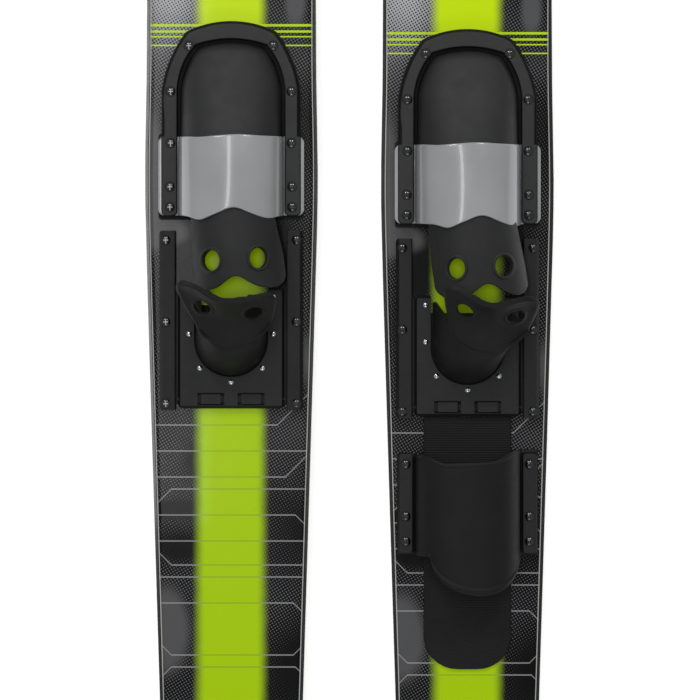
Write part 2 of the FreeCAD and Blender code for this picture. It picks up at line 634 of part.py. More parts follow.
def toe_frame():
    """The horseshoe frame that clamps the rubber and the band."""
    frame = prism(frame_outline(FRAME_REAR), FRAME_SEAT, FRAME_TOP)
    near = lambda place: (lambda x, y: math.hypot(abs(x) - place[0], y - place[1]) < 1e-2)
    frame = frame.makeFillet(FRAME_CORNER_RADIUS, upright_edges(frame, near(FRAME_CORNER_OUTER)))
    hole = prism(frame_opening(FRAME_REAR - ABOVE), FRAME_SEAT - 1, FRAME_TOP + 1)
    hole = hole.makeFillet(FRAME_CORNER_RADIUS, upright_edges(hole, near(FRAME_CORNER_INNER)))
    frame = frame.cut(hole)
    frame = frame.makeFillet(LEG_END_RADIUS, upright_edges(frame, lambda x, y: abs(y - FRAME_REAR) < 1e-3))
    frame = frame.makeFillet(FRAME_EDGE_RADIUS, edges_at(frame, FRAME_TOP))
    frame = frame.cut(block(-ABOVE, ABOVE, 0, FRAME_STEP_Y, 0, FRAME_SEAT + BAND_THICKNESS))
    return counterbored(frame, both_sides(TOE_SCREWS), FRAME_TOP)


# Heel rails, carriage and latches

def rail_screw_places():
    return [(RAIL_SCREW_X, RAIL_SCREW_FRONT - n * RAIL_SCREW_SPACING) for n in range(3)]


def heel_rail():
    """The right-hand rail: a groove for the carriage's edge, and notches under its lip."""
    inner, outer, top = RAIL_INNER, RAIL_INNER + RAIL_WIDTH, RAIL_HEIGHT
    rail = along_y([(inner, 0), (outer, 0), (outer, top - RAIL_OUTER_BEVEL), (outer - RAIL_OUTER_BEVEL, top),
                    (inner + RAIL_INNER_BEVEL, top), (inner, top - RAIL_INNER_BEVEL)], RAIL_REAR, RAIL_FRONT)
    rail = rail.makeFillet(RAIL_CORNER_RADIUS, upright_edges(rail, lambda x, y: x > outer - 1e-3))
    groove_top = GROOVE_BOTTOM + GROOVE_HEIGHT
    rail = rail.cut(block(inner - 1, inner + GROOVE_DEPTH, RAIL_REAR - 1, RAIL_FRONT + 1,
                          GROOVE_BOTTOM, groove_top))
    for n in range(NOTCH_COUNT):
        y = LATCH_Y + n * NOTCH_PITCH
        rail = rail.cut(block(inner - 1, inner + NOTCH_DEPTH, y - NOTCH_WIDTH / 2, y + NOTCH_WIDTH / 2,
                              groove_top - 0.1, groove_top + NOTCH_HEIGHT))
    return counterbored(rail, rail_screw_places(), RAIL_HEIGHT)


def cup_outline(grow, front):
    """The U-shaped opening for the heel, grown on every side, open at the front."""
    r = CUP_HALF_WIDTH + grow
    return face_of([line(V(r, front, 0), V(r, CUP_CENTRE_Y, 0)),
                    arc(V(r, CUP_CENTRE_Y, 0), V(0, CUP_CENTRE_Y - r, 0), V(-r, CUP_CENTRE_Y, 0)),
                    line(V(-r, CUP_CENTRE_Y, 0), V(-r, front, 0)), line(V(-r, front, 0), V(r, front, 0))])


def rivet_places():
    """Along both sides of the heel's opening and round its back."""
    r, turn = CUP_HALF_WIDTH + RIVET_OFFSET, math.radians(RIVET_BACK_ANGLE)
    sides = [(r, y) for y in RIVET_SIDE_Y] + [(r * math.sin(turn), CUP_CENTRE_Y - r * math.cos(turn))]
    return both_sides(sides) + [(0, CUP_CENTRE_Y - r)]


def carriage():
    """The sliding heel plate, with edges in the rails and a pocket below for the rubber's flange."""
    low, half = CARRIAGE_LIFT, CARRIAGE_HALF_WIDTH
    body = block(-half, half, CARRIAGE_REAR, CARRIAGE_FRONT, low, CARRIAGE_HEIGHT)
    body = body.makeFillet(CARRIAGE_CORNER_RADIUS, upright_edges(body, lambda x, y: True))
    body = body.makeChamfer(CARRIAGE_BEVEL, edges_at(body, CARRIAGE_HEIGHT))
    edge = RAIL_INNER + GROOVE_DEPTH - SLIDE_CLEARANCE
    wings = block(-edge, edge,
                  CARRIAGE_REAR + CARRIAGE_CORNER_RADIUS, CARRIAGE_FRONT - CARRIAGE_CORNER_RADIUS,
                  GROOVE_BOTTOM + SLIDE_CLEARANCE, GROOVE_BOTTOM + GROOVE_HEIGHT - SLIDE_CLEARANCE)
    body = body.fuse(wings).removeSplitter()
    body = body.cut(prism(cup_outline(0, 0), -1, ABOVE))
    body = body.cut(prism(cup_outline(HEEL_FLANGE_REACH + CUP_CLEARANCE, 0), -1, FLANGE_TOP))
    for side in (-1, 1):
        body = body.cut(latch_space(side))
    return body.cut(posts(RIVET_RADIUS, rivet_places(), 0, ABOVE))


def latch_space(side):
    """The channel, nose slot and tab pocket that a latch needs in the carriage."""
    gap, half = LATCH_CLEARANCE, LATCH_BAR_WIDTH / 2
    nose_low = GROOVE_BOTTOM + GROOVE_HEIGHT
    channel = block(CENTRE_POST_HALF_WIDTH, LATCH_BAR_END + gap, LATCH_Y - half - gap, LATCH_Y + half + gap,
                    -1, LATCH_BAR_TOP + gap)
    nose = block(LATCH_BAR_END, CARRIAGE_HALF_WIDTH + 1,
                 LATCH_Y - LATCH_NOSE_WIDTH / 2 - gap, LATCH_Y + LATCH_NOSE_WIDTH / 2 + gap,
                 nose_low - gap, nose_low + LATCH_NOSE_THICKNESS + 2 * gap)
    margin = LATCH_TRAVEL + TAB_CLEARANCE
    pocket = block(TAB_X - TAB_WIDTH / 2 - margin, TAB_X + TAB_WIDTH / 2 + margin,
                   LATCH_Y - TAB_LENGTH / 2 - TAB_MARGIN_Y, LATCH_Y + TAB_LENGTH / 2 + TAB_MARGIN_Y,
                   POCKET_FLOOR, CARRIAGE_HEIGHT + 1)
    space = channel.fuse([nose, pocket])
    return space if side > 0 else mirrored(space)


def latch(side):
    """Bar, nose and finger tab in one moulding."""
    half, top = LATCH_BAR_WIDTH / 2, CARRIAGE_HEIGHT + TAB_HEIGHT
    nose_low = GROOVE_BOTTOM + GROOVE_HEIGHT + LATCH_CLEARANCE
    bar = block(LATCH_BAR_START, LATCH_BAR_END, LATCH_Y - half, LATCH_Y + half, BACKING_LIFT, LATCH_BAR_TOP)
    nose = block(LATCH_BAR_END - 1, RAIL_INNER + LATCH_NOSE_BITE, LATCH_Y - LATCH_NOSE_WIDTH / 2,
                 LATCH_Y + LATCH_NOSE_WIDTH / 2, nose_low, nose_low + LATCH_NOSE_THICKNESS)
    tab = block(TAB_X - TAB_WIDTH / 2, TAB_X + TAB_WIDTH / 2, LATCH_Y - TAB_LENGTH / 2,
                LATCH_Y + TAB_LENGTH / 2, LATCH_BAR_TOP + TAB_LIFT, top)
    tab = tab.makeFillet(TAB_CORNER_RADIUS, upright_edges(tab, lambda x, y: True))
    tab = tab.makeFillet(TAB_EDGE_RADIUS, edges_at(tab, top))
    neck = block(TAB_X - TAB_NECK_LENGTH / 2, TAB_X + TAB_NECK_LENGTH / 2, LATCH_Y - half, LATCH_Y + half,
                 LATCH_BAR_TOP - JOIN_OVERLAP, LATCH_BAR_TOP + TAB_LIFT + JOIN_OVERLAP)
    if side > 0:
        front = LATCH_Y + TAB_LENGTH / 2
        tab = tab.cut(block(TAB_X - TAB_WIDTH / 2 + TAB_STEP_MARGIN, ABOVE, front - TAB_STEP_LENGTH,
                            front - TAB_STEP_MARGIN, top - TAB_STEP, ABOVE))
    whole = bar.fuse([nose, tab, neck]).removeSplitter()
    return whole if side > 0 else mirrored(whole)


def latch_spring(side):
    """A folded strip spring between the latch's bar and the post in the middle."""
    start, end = CENTRE_POST_HALF_WIDTH + SPRING_GAP, LATCH_BAR_START - SPRING_GAP
    step = (end - start - SPRING_STRIP) / SPRING_BENDS
    low, high = BACKING_LIFT + 1, LATCH_BAR_TOP - 1
    reach, strips = SPRING_HALF_WIDTH, []
    for n in range(SPRING_BENDS + 1):
        x = start + n * step
        strips.append(block(x, x + SPRING_STRIP, LATCH_Y - reach, LATCH_Y + reach, low, high))
        if n < SPRING_BENDS:
            turn = LATCH_Y + (reach - SPRING_STRIP if n % 2 else -reach)
            strips.append(block(x, x + step + SPRING_STRIP, turn, turn + SPRING_STRIP, low, high))
    strip = strips[0].fuse(strips[1:]).removeSplitter()
    return strip if side > 0 else mirrored(strip)


def backing_plate():
    """The steel plate below the heel rubber's flange, held by the rivets."""
    reach = HEEL_FLANGE_REACH - CUP_CLEARANCE
    plate = prism(cup_outline(reach, HEEL_FRONT), BACKING_LIFT, BACKING_LIFT + BACKING_THICKNESS)
    plate = plate.cut(prism(cup_outline(CUP_CLEARANCE, 0), -1, ABOVE))
    return plate.cut(posts(RIVET_RADIUS, rivet_places(), 0, ABOVE))


def rivets():
    """Dome-headed rivets through the carriage, the flange and the backing plate."""
    r, h = RIVET_HEAD_RADIUS, RIVET_HEAD_HEIGHT
    seat = CARRIAGE_HEIGHT
    outline = face_of([
        line(V(0, 0, BACKING_LIFT), V(RIVET_RADIUS, 0, BACKING_LIFT)),
        line(V(RIVET_RADIUS, 0, BACKING_LIFT), V(RIVET_RADIUS, 0, seat)),
        line(V(RIVET_RADIUS, 0, seat), V(r, 0, seat)),
        dome(r, seat, h),
        line(V(0, 0, seat + h), V(0, 0, BACKING_LIFT))])
    rivet = outline.revolve(V(0, 0, 0), V(0, 0, 1), 360)
    return Part.makeCompound([rivet.translated(V(x, y, 0)) for x, y in rivet_places()])


# Heel rubber: (back z, back y, front z, front y, half width), from the carriage's top to the rim
HEEL_SECTIONS = [
    (CARRIAGE_HEIGHT + JOIN_OVERLAP, CUP_CENTRE_Y - CUP_HALF_WIDTH + CUP_CLEARANCE,
     CARRIAGE_HEIGHT + JOIN_OVERLAP, HEEL_FRONT, CUP_HALF_WIDTH - CUP_CLEARANCE),
    (24.0, -107.0, 22.0, -36.0, 36.2),
    (38.0, -98.0, 32.0, -56.0, 36.2),
    (48.0, -90.0, 42.0, -70.0, 36.6),
    (60.0, -80.0, 60.0, -67.0, 38.0),
    (72.0, -68.0, 71.0, -48.0, 43.0),
    (84.0, -54.0, 78.0, -28.0, 49.0),
    (94.0, -41.0, 87.0, -19.0, 51.5),
    (98.0, -34.5, 92.0, -18.5, 51.0)]
LEAN_START = 12.0              # the collar leans aside between these heights
LEAN_END = 58.0
HEEL_BACK_SHARE = 0.9          # the most of a ring's reach that its round back may take
HEEL_HOLE_OUT = 0.35           # the finger holes point this much outwards and upwards
HEEL_HOLE_UP = 0.55            # for one backwards


def lean_share(z):
    """How far the sideways lean has grown at this height, from 0 to 1."""
    share = min(1.0, max(0.0, (z - LEAN_START) / (LEAN_END - LEAN_START)))
    return share ** 2 * (3 - 2 * share)


def cup_section(section, side):
    """One U-shaped ring of the heel rubber: two arms, and a round back in two arcs."""
    back_z, back_y, front_z, front_y, half = section
    reach = math.hypot(front_y - back_y, front_z - back_z)
    along = V(0, (front_y - back_y) / reach, (front_z - back_z) / reach)
    depth = min(half, HEEL_BACK_SHARE * reach)

    def at(u, v):
        return V(u, back_y, back_z) + along * v

    def back_arc(u, start):
        """Points on the arc from the arm's end at (u, depth) to the middle of the back."""
        turn = math.atan2(depth - start, abs(u))
        radius = (u ** 2 + (depth - start) ** 2) / (2 * (depth - start))
        return at(math.copysign(radius * math.sin(turn), u), start + radius * (1 - math.cos(turn)))

    inner = half - HEEL_WALL
    p = [at(half, reach), at(half, depth), at(0, 0), at(-half, depth), at(-half, reach),
         at(-inner, reach), at(-inner, depth), at(0, HEEL_WALL), at(inner, depth), at(inner, reach)]
    wire = Part.Wire([line(p[0], p[1]),
                      arc(p[1], back_arc(half, 0), p[2]), arc(p[2], back_arc(-half, 0), p[3]),
                      line(p[3], p[4]), line(p[4], p[5]), line(p[5], p[6]),
                      arc(p[6], back_arc(-inner, HEEL_WALL), p[7]),
                      arc(p[7], back_arc(inner, HEEL_WALL), p[8]),
                      line(p[8], p[9]), line(p[9], p[0])])
    share = lean_share(back_z)
    wire.rotate(V(0, (back_y + front_y) / 2, 0), V(0, 0, 1), -HEEL_TWIST[side] * share)
    wire.translate(V(HEEL_LEAN[side] * share, 0, 0))
    return wire


def heel_rubber(side):
    """The heel cup: a flange below the carriage and a wall that leans forward over the ankle."""
    wall = Part.makeLoft([cup_section(section, side) for section in HEEL_SECTIONS], True, False)
    low = BACKING_LIFT + BACKING_THICKNESS
    inside = cup_outline(-HEEL_WALL - CUP_CLEARANCE, 0)
    flange = prism(cup_outline(HEEL_FLANGE_REACH - CUP_CLEARANCE, HEEL_FRONT), low, FLANGE_TOP)
    ring = prism(cup_outline(-CUP_CLEARANCE, HEEL_FRONT), low, CARRIAGE_HEIGHT + JOIN_OVERLAP)
    flange = flange.fuse(ring).cut(prism(inside, -1, ABOVE))
    flange = flange.cut(posts(RIVET_RADIUS, rivet_places(), 0, FLANGE_TOP + 1))
    rubber = wall.fuse(flange).removeSplitter()
    lean, twist = HEEL_LEAN[side], math.radians(HEEL_TWIST[side])
    for across in (-1, 1):
        u = across * HEEL_HOLE_X
        centre = V(lean + u * math.cos(twist), HEEL_HOLE_Y - u * math.sin(twist), HEEL_HOLE_Z)
        axis = V(across * HEEL_HOLE_OUT, -1.0, HEEL_HOLE_UP).normalize()
        reach = 2 * HEEL_HOLE_RADIUS
        rubber = rubber.cut(Part.makeCylinder(HEEL_HOLE_RADIUS, 2 * reach, centre - axis * reach, axis))
    return rubber


# Rear toe strap and foot pad

def strap_bar():
    """The right-hand bar that clamps the strap."""
    half = STRAP_BAR_WIDTH / 2
    bar = block(STRAP_BAR_X - half, STRAP_BAR_X + half, STRAP_BAR_REAR, STRAP_BAR_FRONT,
                STRAP_WALL, STRAP_WALL + STRAP_BAR_HEIGHT)
    bar = bar.makeFillet(STRAP_BAR_CORNER, upright_edges(bar, lambda x, y: True))
    bar = bar.makeFillet(FRAME_EDGE_RADIUS, edges_at(bar, STRAP_WALL + STRAP_BAR_HEIGHT))
    return counterbored(bar, strap_screw_places(1), STRAP_WALL + STRAP_BAR_HEIGHT)


def strap_screw_places(sides):
    places = [(STRAP_BAR_X, y) for y in STRAP_SCREW_Y]
    return places if sides == 1 else both_sides(places)


def strap_outline():
    """The strap from above: hollowed in front, with a round tongue behind."""
    out = STRAP_BAR_X + STRAP_BAR_WIDTH / 2 + STRAP_FLANGE_MARGIN
    front, rear = STRAP_BAR_FRONT + STRAP_FLANGE_MARGIN, STRAP_BAR_REAR - STRAP_FLANGE_MARGIN
    inner = STRAP_BAR_X - STRAP_BAR_WIDTH / 2 - STRAP_FLANGE_MARGIN
    tongue = STRAP_TONGUE_HALF_WIDTH
    corner = rear - STRAP_TONGUE / 2
    flip = lambda q: V(-q.x, q.y, 0)
    p = [V(inner, front, 0), V(out, front, 0), V(out, rear, 0), V(tongue, rear, 0), V(tongue, corner, 0)]
    return face_of([line(p[0], p[1]), line(p[1], p[2]), line(p[2], p[3]), line(p[3], p[4]),
                    arc(p[4], V(0, rear - STRAP_TONGUE, 0), flip(p[4])), line(flip(p[4]), flip(p[3])),
                    line(flip(p[3]), flip(p[2])), line(flip(p[2]), flip(p[1])), line(flip(p[1]), flip(p[0])),
                    arc(flip(p[0]), V(0, front - STRAP_HOLLOW, 0), p[0])])


def toe_strap():
    """The rubber strap over the rear foot: two flanges under the bars and an arch between them."""
    front, rear = STRAP_BAR_FRONT + 10, STRAP_BAR_REAR - STRAP_TONGUE - 10
    stations = [(y, 0, STRAP_HALF_WIDTH, STRAP_HEIGHT) for y in (rear, front)]
    arch = arch_solid(stations, 0, 0).cut(arch_solid(stations, -STRAP_WALL, -1))
    edge = STRAP_BAR_X + STRAP_BAR_WIDTH / 2 + STRAP_FLANGE_MARGIN
    feet = block(-edge, edge, rear, front, 0, STRAP_WALL).cut(
        block(-STRAP_HALF_WIDTH + 1, STRAP_HALF_WIDTH - 1, rear, front, -1, ABOVE))
    strap = prism(strap_outline(), -1, ABOVE).common(arch.fuse(feet))
    return drilled(strap, strap_screw_places(2)).removeSplitter()


def foot_pad():
    """The pad that the rear foot stands on."""
    pad = block(-PAD_HALF_WIDTH, PAD_HALF_WIDTH, PAD_REAR, PAD_FRONT, 0, PAD_THICKNESS)
    return pad.makeFillet(PAD_END_RADIUS, upright_edges(pad, lambda x, y: abs(y - PAD_REAR) < 1e-3))


def ski_pieces(side):
    """Every piece of one ski, by name, about the middle of its deck."""
    screws = both_sides(TOE_SCREWS)
    rails = both_sides(rail_screw_places())
    strap = strap_screw_places(2) if side == "right" else []
    deck_places = screws + rails + strap
    rail, top = heel_rail(), -TOP_SHEET_THICKNESS
    fin_top = TUNNEL_ROOF + FIN_INSERT_LENGTH
    pieces = {
        "ski_core": ski_core(deck_places),
        "top_sheet": top_sheet(deck_places),
        "binding_inserts": inserts(deck_places, top, INSERT_LENGTH),
        "fin_inserts": inserts(fin_screw_places(), fin_top, FIN_INSERT_LENGTH),
        "fin": fin(),
        "fin_screws": fin_screws(),
        "toe_plate": toe_plate(),
        "toe_rubber": toe_rubber(FLAP_SHIFT[side]),
        "instep_band": instep_band(FLAP_SHIFT[side]),
        "toe_frame": toe_frame(),
        "toe_screws": pan_head_screws(screws, FRAME_TOP - COUNTERBORE_DEPTH),
        "inner_heel_rail" if side == "left" else "outer_heel_rail": rail,
        "outer_heel_rail" if side == "left" else "inner_heel_rail": mirrored(rail),
        "heel_rail_screws": pan_head_screws(rails, RAIL_HEIGHT - COUNTERBORE_DEPTH),
        "heel_carriage": carriage(),
        "heel_backing_plate": backing_plate(),
        "heel_rubber": heel_rubber(side),
        "heel_rivets": rivets(),
        "left_latch": latch(-1),
        "right_latch": latch(1),
        "left_latch_spring": latch_spring(-1),
        "right_latch_spring": latch_spring(1)}
    if side == "right":
        bar = strap_bar()
        pieces.update({
            "rear_toe_strap": toe_strap(),
            "rear_strap_right_bar": bar,
            "rear_strap_left_bar": mirrored(bar),
            "rear_strap_screws": pan_head_screws(strap, STRAP_WALL + STRAP_BAR_HEIGHT - COUNTERBORE_DEPTH),
            "rear_foot_pad": foot_pad()})
    return pieces


os.makedirs("parts", exist_ok=True)
for side, across in (("left", -1), ("right", 1)):
    place = V(across * SKI_SPACING / 2, -across * SKI_STAGGER / 2, FIN_DEPTH + SKI_THICKNESS)
    for name, shape in ski_pieces(side).items():
        shape.translate(place)
        shape.exportStep("parts/" + side + "_" + name + ".step")
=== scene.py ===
"""A pair of combination water skis with their foot bindings, seen from straight above.

Sizes are in millimetres about the middle of each ski's deck; meshes are in metres in the row's frame.
"""
import math

import bpy
import numpy as np
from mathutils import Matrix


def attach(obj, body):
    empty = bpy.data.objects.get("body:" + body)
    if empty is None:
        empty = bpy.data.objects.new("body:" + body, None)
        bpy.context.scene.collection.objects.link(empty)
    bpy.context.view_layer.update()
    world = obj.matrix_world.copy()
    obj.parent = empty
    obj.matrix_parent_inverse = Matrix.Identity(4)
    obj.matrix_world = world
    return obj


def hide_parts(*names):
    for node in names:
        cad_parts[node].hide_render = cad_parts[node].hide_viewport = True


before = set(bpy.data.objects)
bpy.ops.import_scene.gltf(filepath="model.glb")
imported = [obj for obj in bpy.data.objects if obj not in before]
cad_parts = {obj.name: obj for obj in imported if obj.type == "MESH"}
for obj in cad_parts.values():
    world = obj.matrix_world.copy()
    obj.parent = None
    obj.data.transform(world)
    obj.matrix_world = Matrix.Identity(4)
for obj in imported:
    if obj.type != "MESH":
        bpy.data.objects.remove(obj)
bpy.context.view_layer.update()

# The studio: one large pale sheet under the skis, soft lights above and at both ends, and a long
# narrow strip light, which draws the streak along the glossy instep bands. The camera hangs straight
# above with a long lens, so the skis show with little perspective.
MM = 0.001
CAMERA_PLACE = (0.0006, -0.082, 3.08)
SENSOR_WIDTH = 36.0
FRAMED_WIDTH = 0.7               # metres across the picture, at 3 m
FLOOR_HALF = 30.0
WHITE = (1.0, 1.0, 1.0, 1.0)


def paint(red, green, blue):
    """An 8-bit screen colour as the linear colour that renders as it."""
    linear = [c / 255 / 12.92 if c <= 10 else ((c / 255 + 0.055) / 1.055) ** 2.4
              for c in (red, green, blue)]
    return (*linear, 1.0)


class Wire:
    """A value between shader nodes. Arithmetic on it adds Math nodes, and node() adds any other."""

    def __init__(self, tree, socket):
        self.tree, self.socket = tree, socket

    def node(self, kind, settings=None, inputs=None, output=0):
        """A node of this kind: its settings first, then a value or a wire for each input."""
        made = self.tree.nodes.new("ShaderNode" + kind)
        for name, value in (settings or {}).items():
            setattr(made, name, value)
        for name, value in (inputs or {}).items():
            if isinstance(value, Wire):
                self.tree.links.new(value.socket, made.inputs[name])
            else:
                made.inputs[name].default_value = value
        return Wire(self.tree, made.outputs[output])

    def math(self, operation, a, b=0.0):
        return self.node("Math", {"operation": operation}, {0: a, 1: b})

    def __add__(self, other):
        return self.math("ADD", self, other)

    def __sub__(self, other):
        return self.math("SUBTRACT", self, other)

    def __rsub__(self, other):
        return self.math("SUBTRACT", other, self)

    def __mul__(self, other):
        return self.math("MULTIPLY", self, other)

    def __truediv__(self, other):
        return self.math("DIVIDE", self, other)

    def __pow__(self, other):
        return self.math("POWER", self, other)

    def __abs__(self):
        return self.math("ABSOLUTE", self)

    __radd__, __rmul__ = __add__, __mul__

    def step(self, low, high):
        """A smooth step from 0 at low to 1 at high."""
        return self.node("MapRange", {"interpolation_type": "SMOOTHSTEP"},
                         {"Value": self, "From Min": low, "From Max": high})

    def mix(self, a, b):
        """Colour a where this mask is 0 and colour b where it is 1."""
        return self.node("Mix", {"data_type": "RGBA"}, {0: self, 6: a, 7: b}, 2)

    def parts(self):
        """The x, y and z of a vector."""
        split = self.tree.nodes.new("ShaderNodeSeparateXYZ")
        self.tree.links.new(self.socket, split.inputs[0])
        return [Wire(self.tree, out) for out in split.outputs]

    def noise(self, scale, detail=3.0, roughness=0.5):
        return self.node("TexNoise", inputs={"Vector": self, "Scale": scale, "Detail": detail,
                                             "Roughness": roughness})

    def feeds(self, socket):
        self.tree.links.new(self.socket, socket)


def finish(name, colour, roughness, **constants):
    """A plain Principled material. Returns it, its shader's inputs and its Object coordinates."""
    made = bpy.data.materials.new(name)
    made.use_nodes = True
    tree = made.node_tree
    inputs = tree.nodes["Principled BSDF"].inputs
    inputs["Base Color"].default_value = colour
    inputs["Roughness"].default_value = roughness
    for socket, value in constants.items():
        inputs[socket.replace("_", " ")].default_value = value
    place = Wire(tree, tree.nodes.new("ShaderNodeTexCoord").outputs["Object"])
    return made, inputs, place


world = bpy.data.worlds.new("studio_air")
bpy.context.scene.world = world
world.use_nodes = True
air = world.node_tree
rays = Wire(air, air.nodes.new("ShaderNodeLightPath").outputs["Is Camera Ray"])
rays.mix((0.34, 0.345, 0.353, 1.0), WHITE).feeds(air.nodes["Background"].inputs["Color"])

floor_mesh = bpy.data.meshes.new("studio_floor")
corners = FLOOR_HALF * np.array([[-1, -1, 0], [1, -1, 0], [1, 1, 0], [-1, 1, 0]])
floor_mesh.from_pydata(corners.tolist(), [], [(0, 1, 2, 3)])
floor = bpy.data.objects.new("studio_floor", floor_mesh)
bpy.context.scene.collection.objects.link(floor)
floor_paper, floor_inputs, place = finish("studio_paper", (0.84, 0.84, 0.84, 1), 0.9,
                                          Specular_IOR_Level=0.1)
floor_mesh.materials.append(floor_paper)
path = floor_paper.node_tree.nodes.new("ShaderNodeLightPath")
seen = Wire(floor_paper.node_tree, path.outputs["Is Camera Ray"])
mirrored = seen.math("MAXIMUM", seen, Wire(floor_paper.node_tree, path.outputs["Is Glossy Ray"]))
glow = mirrored.math("MAXIMUM", mirrored, Wire(floor_paper.node_tree, path.outputs["Is Transmission Ray"]))
glow.mix((0, 0, 0, 1), WHITE).feeds(floor_inputs["Emission Color"])
floor_inputs["Emission Strength"].default_value = 0.55


def lamp(name, place, target, size, power):
    """A soft rectangular light at a place, turned to a target."""
    light = bpy.data.lights.new(name, "AREA")
    light.shape = "RECTANGLE"
    light.size, light.size_y = size
    light.energy = power
    made = bpy.data.objects.new(name, light)
    bpy.context.scene.collection.objects.link(made)
    direction = np.array(target) - np.array(place)
    made.location = place
    made.rotation_euler = (math.acos(-direction[2] / np.linalg.norm(direction)), 0.0,
                           math.atan2(direction[1], direction[0]) - math.pi / 2)
    made.visible_camera = False
    return made


lamp("front_left_softbox", (-0.95, 2.2, 2.2), (-0.05, 0.0, 0.1), (0.6, 0.6), 17.0)
lamp("front_right_softbox", (0.95, 2.2, 2.2), (0.05, 0.0, 0.1), (0.6, 0.6), 14.0)
lamp("rear_softbox", (0.0, -2.6, 2.2), (0.0, -0.1, 0.1), (1.6, 0.8), 13.0)
lamp("strip_light", (-0.36, 1.0, 2.6), (-0.1, 1.0, 0.1), (2.8, 0.2), 12.0)
overhead = lamp("overhead_softbox", (0.0, -0.05, 2.95), (0.0, -0.0501, 0.1), (0.7, 0.7), 24.0)
overhead.visible_glossy = False  # it leaves no glare on the dark rubber

camera_lens = bpy.data.cameras.new("camera")
camera_lens.sensor_width = SENSOR_WIDTH
camera_lens.lens = SENSOR_WIDTH * 3.0 / FRAMED_WIDTH
camera_lens.clip_end = 100.0
camera = bpy.data.objects.new("camera", camera_lens)
bpy.context.scene.collection.objects.link(camera)
camera.location = CAMERA_PLACE
bpy.context.scene.camera = camera
bpy.context.scene.view_settings.view_transform = "Standard"

# Ski bodies: a foam core in a gloss black moulded skin. The base carries the deck's lime band in
# plain form, and the fins below the tails are black nylon with stainless countersunk screws.
SKIS = {"left": (-118.0, 4.0), "right": (118.0, -4.0)}     # the middle of each deck in the row
DECK_Z = 80.0
LIME = paint(176, 207, 0)
DARK_LIME = paint(158, 193, 0)
BLACK_GLOSS = paint(14, 14, 15)


def dress(material, *nodes):
    """Gives CAD nodes their finish."""
    for node in nodes:
        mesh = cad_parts[node].data
        mesh.materials.clear()
        mesh.materials.append(material)


def centred(place, side):
    """Object coordinates in millimetres about the middle of one ski's deck."""
    x, y = SKIS[side]
    return place.node("Mapping", inputs={"Vector": place, "Location": (-x, -y, -DECK_Z),
                                         "Scale": (1000, 1000, 1000)})


def grained(inputs, place, scale, strength, distance=0.0002):
    """Fine moulded grain: noise at this many waves a metre, as a bump."""
    height = place.noise(scale, 2.0, 0.6)
    bump = place.node("Bump", inputs={"Height": height, "Strength": strength, "Distance": distance})
    bump.feeds(inputs["Normal"])


for side in SKIS:
    skin, inputs, place = finish(side + "_ski_skin", BLACK_GLOSS, 0.22, Coat_Weight=0.4,
                                 Coat_Roughness=0.08)
    x, y, z = centred(place, side).parts()
    facing = place.tree.nodes.new("ShaderNodeNewGeometry").outputs["Normal"]
    down = (Wire(place.tree, facing).parts()[2] * -1.0).step(0.55, 0.8)
    band = down * (1 - abs(x).step(24.0, 40.0))
    band.mix(BLACK_GLOSS, DARK_LIME).feeds(inputs["Base Color"])
    (place.noise(60.0, 4.0) * 0.16 + 0.15).feeds(inputs["Roughness"])
    dress(skin, side + "_ski_core")

fin_nylon, inputs, place = finish("fin_nylon", paint(22, 22, 24), 0.45)
grained(inputs, place, 2600.0, 0.25)
steel, inputs, place = finish("stainless_steel", paint(188, 190, 194), 0.3, Metallic=1.0)
(place.noise(900.0) * 0.25 + 0.2).feeds(inputs["Roughness"])
brass, inputs, place = finish("insert_brass", paint(190, 150, 82), 0.35, Metallic=1.0)
(place.noise(700.0) * 0.2 + 0.25).feeds(inputs["Roughness"])
# The latch springs' near-black steel is painted shade, so the latch pockets read dark.
spring_steel_shade_dark, inputs, place = finish("spring_steel_shade_dark", paint(58, 59, 64), 0.4, Metallic=0.9)
(place.noise(1500.0) * 0.2 + 0.3).feeds(inputs["Roughness"])
for side in SKIS:
    dress(fin_nylon, side + "_fin")
    dress(steel, side + "_fin_screws", side + "_heel_backing_plate")
    dress(spring_steel_shade_dark, side + "_left_latch_spring", side + "_right_latch_spring")
    dress(brass, side + "_binding_inserts", side + "_fin_inserts")

# Printed decks: a clear gloss plastic sheet, printed below and bonded to the core. A lime band
# with sprayed edges runs down the middle between fields of grey halftone dots on black, and thin
# grey panel lines cross it. It stops short of the ski's edge at a fine light line.
SKI_LENGTH = 1702.0
WIDEST_WIDTH = 172.8
TIP_CURVE_LENGTH = 470.0
TIP_RISE = 108.0
SKI_THICKNESS = 20.0
TIP_THICKNESS = 10.0
TAIL_THICKNESS = 12.0
DECK_FLAT = (-430.0, 262.0)
SHEET_INSET = 3.0
SHEET_THICKNESS = 0.8
SHEET_COLUMNS = 33
DOT_PITCH = 2.8
DOT_ANGLE = math.radians(31.0)
LIME_LINES = [(238.7, 1.0), (232.5, 0.9), (227.3, 0.45), (218.6, 0.45)]     # place, half width
BRIGHT_PATCH = ((-62, 285), (46, 62))
# Where the halftone is lighter or darker than elsewhere: centre, spread and how much
TONE_PATCHES = [(*BRIGHT_PATCH, 0.44), ((-76, 190), (30, 50), 0.16), ((66, 210), (34, 40), 0.2),
                ((64, -165), (30, 34), 0.2), ((-66, -190), (30, 40), 0.1), ((76, 150), (22, 60), -0.16),
                ((-47, 6), (9, 30), -0.9), ((52, 4), (9, 34), -0.7), ((-76, -60), (16, 40), -0.16),
                ((-38, -193), (10, 15), -0.4), ((-52, -246), (40, 8), -0.6), ((72, -252), (30, 40), -0.24),
                ((-50, -284), (26, 13), -0.4), ((70, -400), (40, 46), -0.4)]
# Where plain grey lies in the dots' place: centre, spread and how much
GREY_PATCHES = [((-80, 92), (15, 78), 1.0), ((-62, 32), (24, 15), 1.0), ((64, 262), (12, 30), 1.0),
                ((76, -96), (11, 38), 0.7), ((-66, -366), (24, 44), 1.3), ((58, 420), (26, 70), 1.0)]
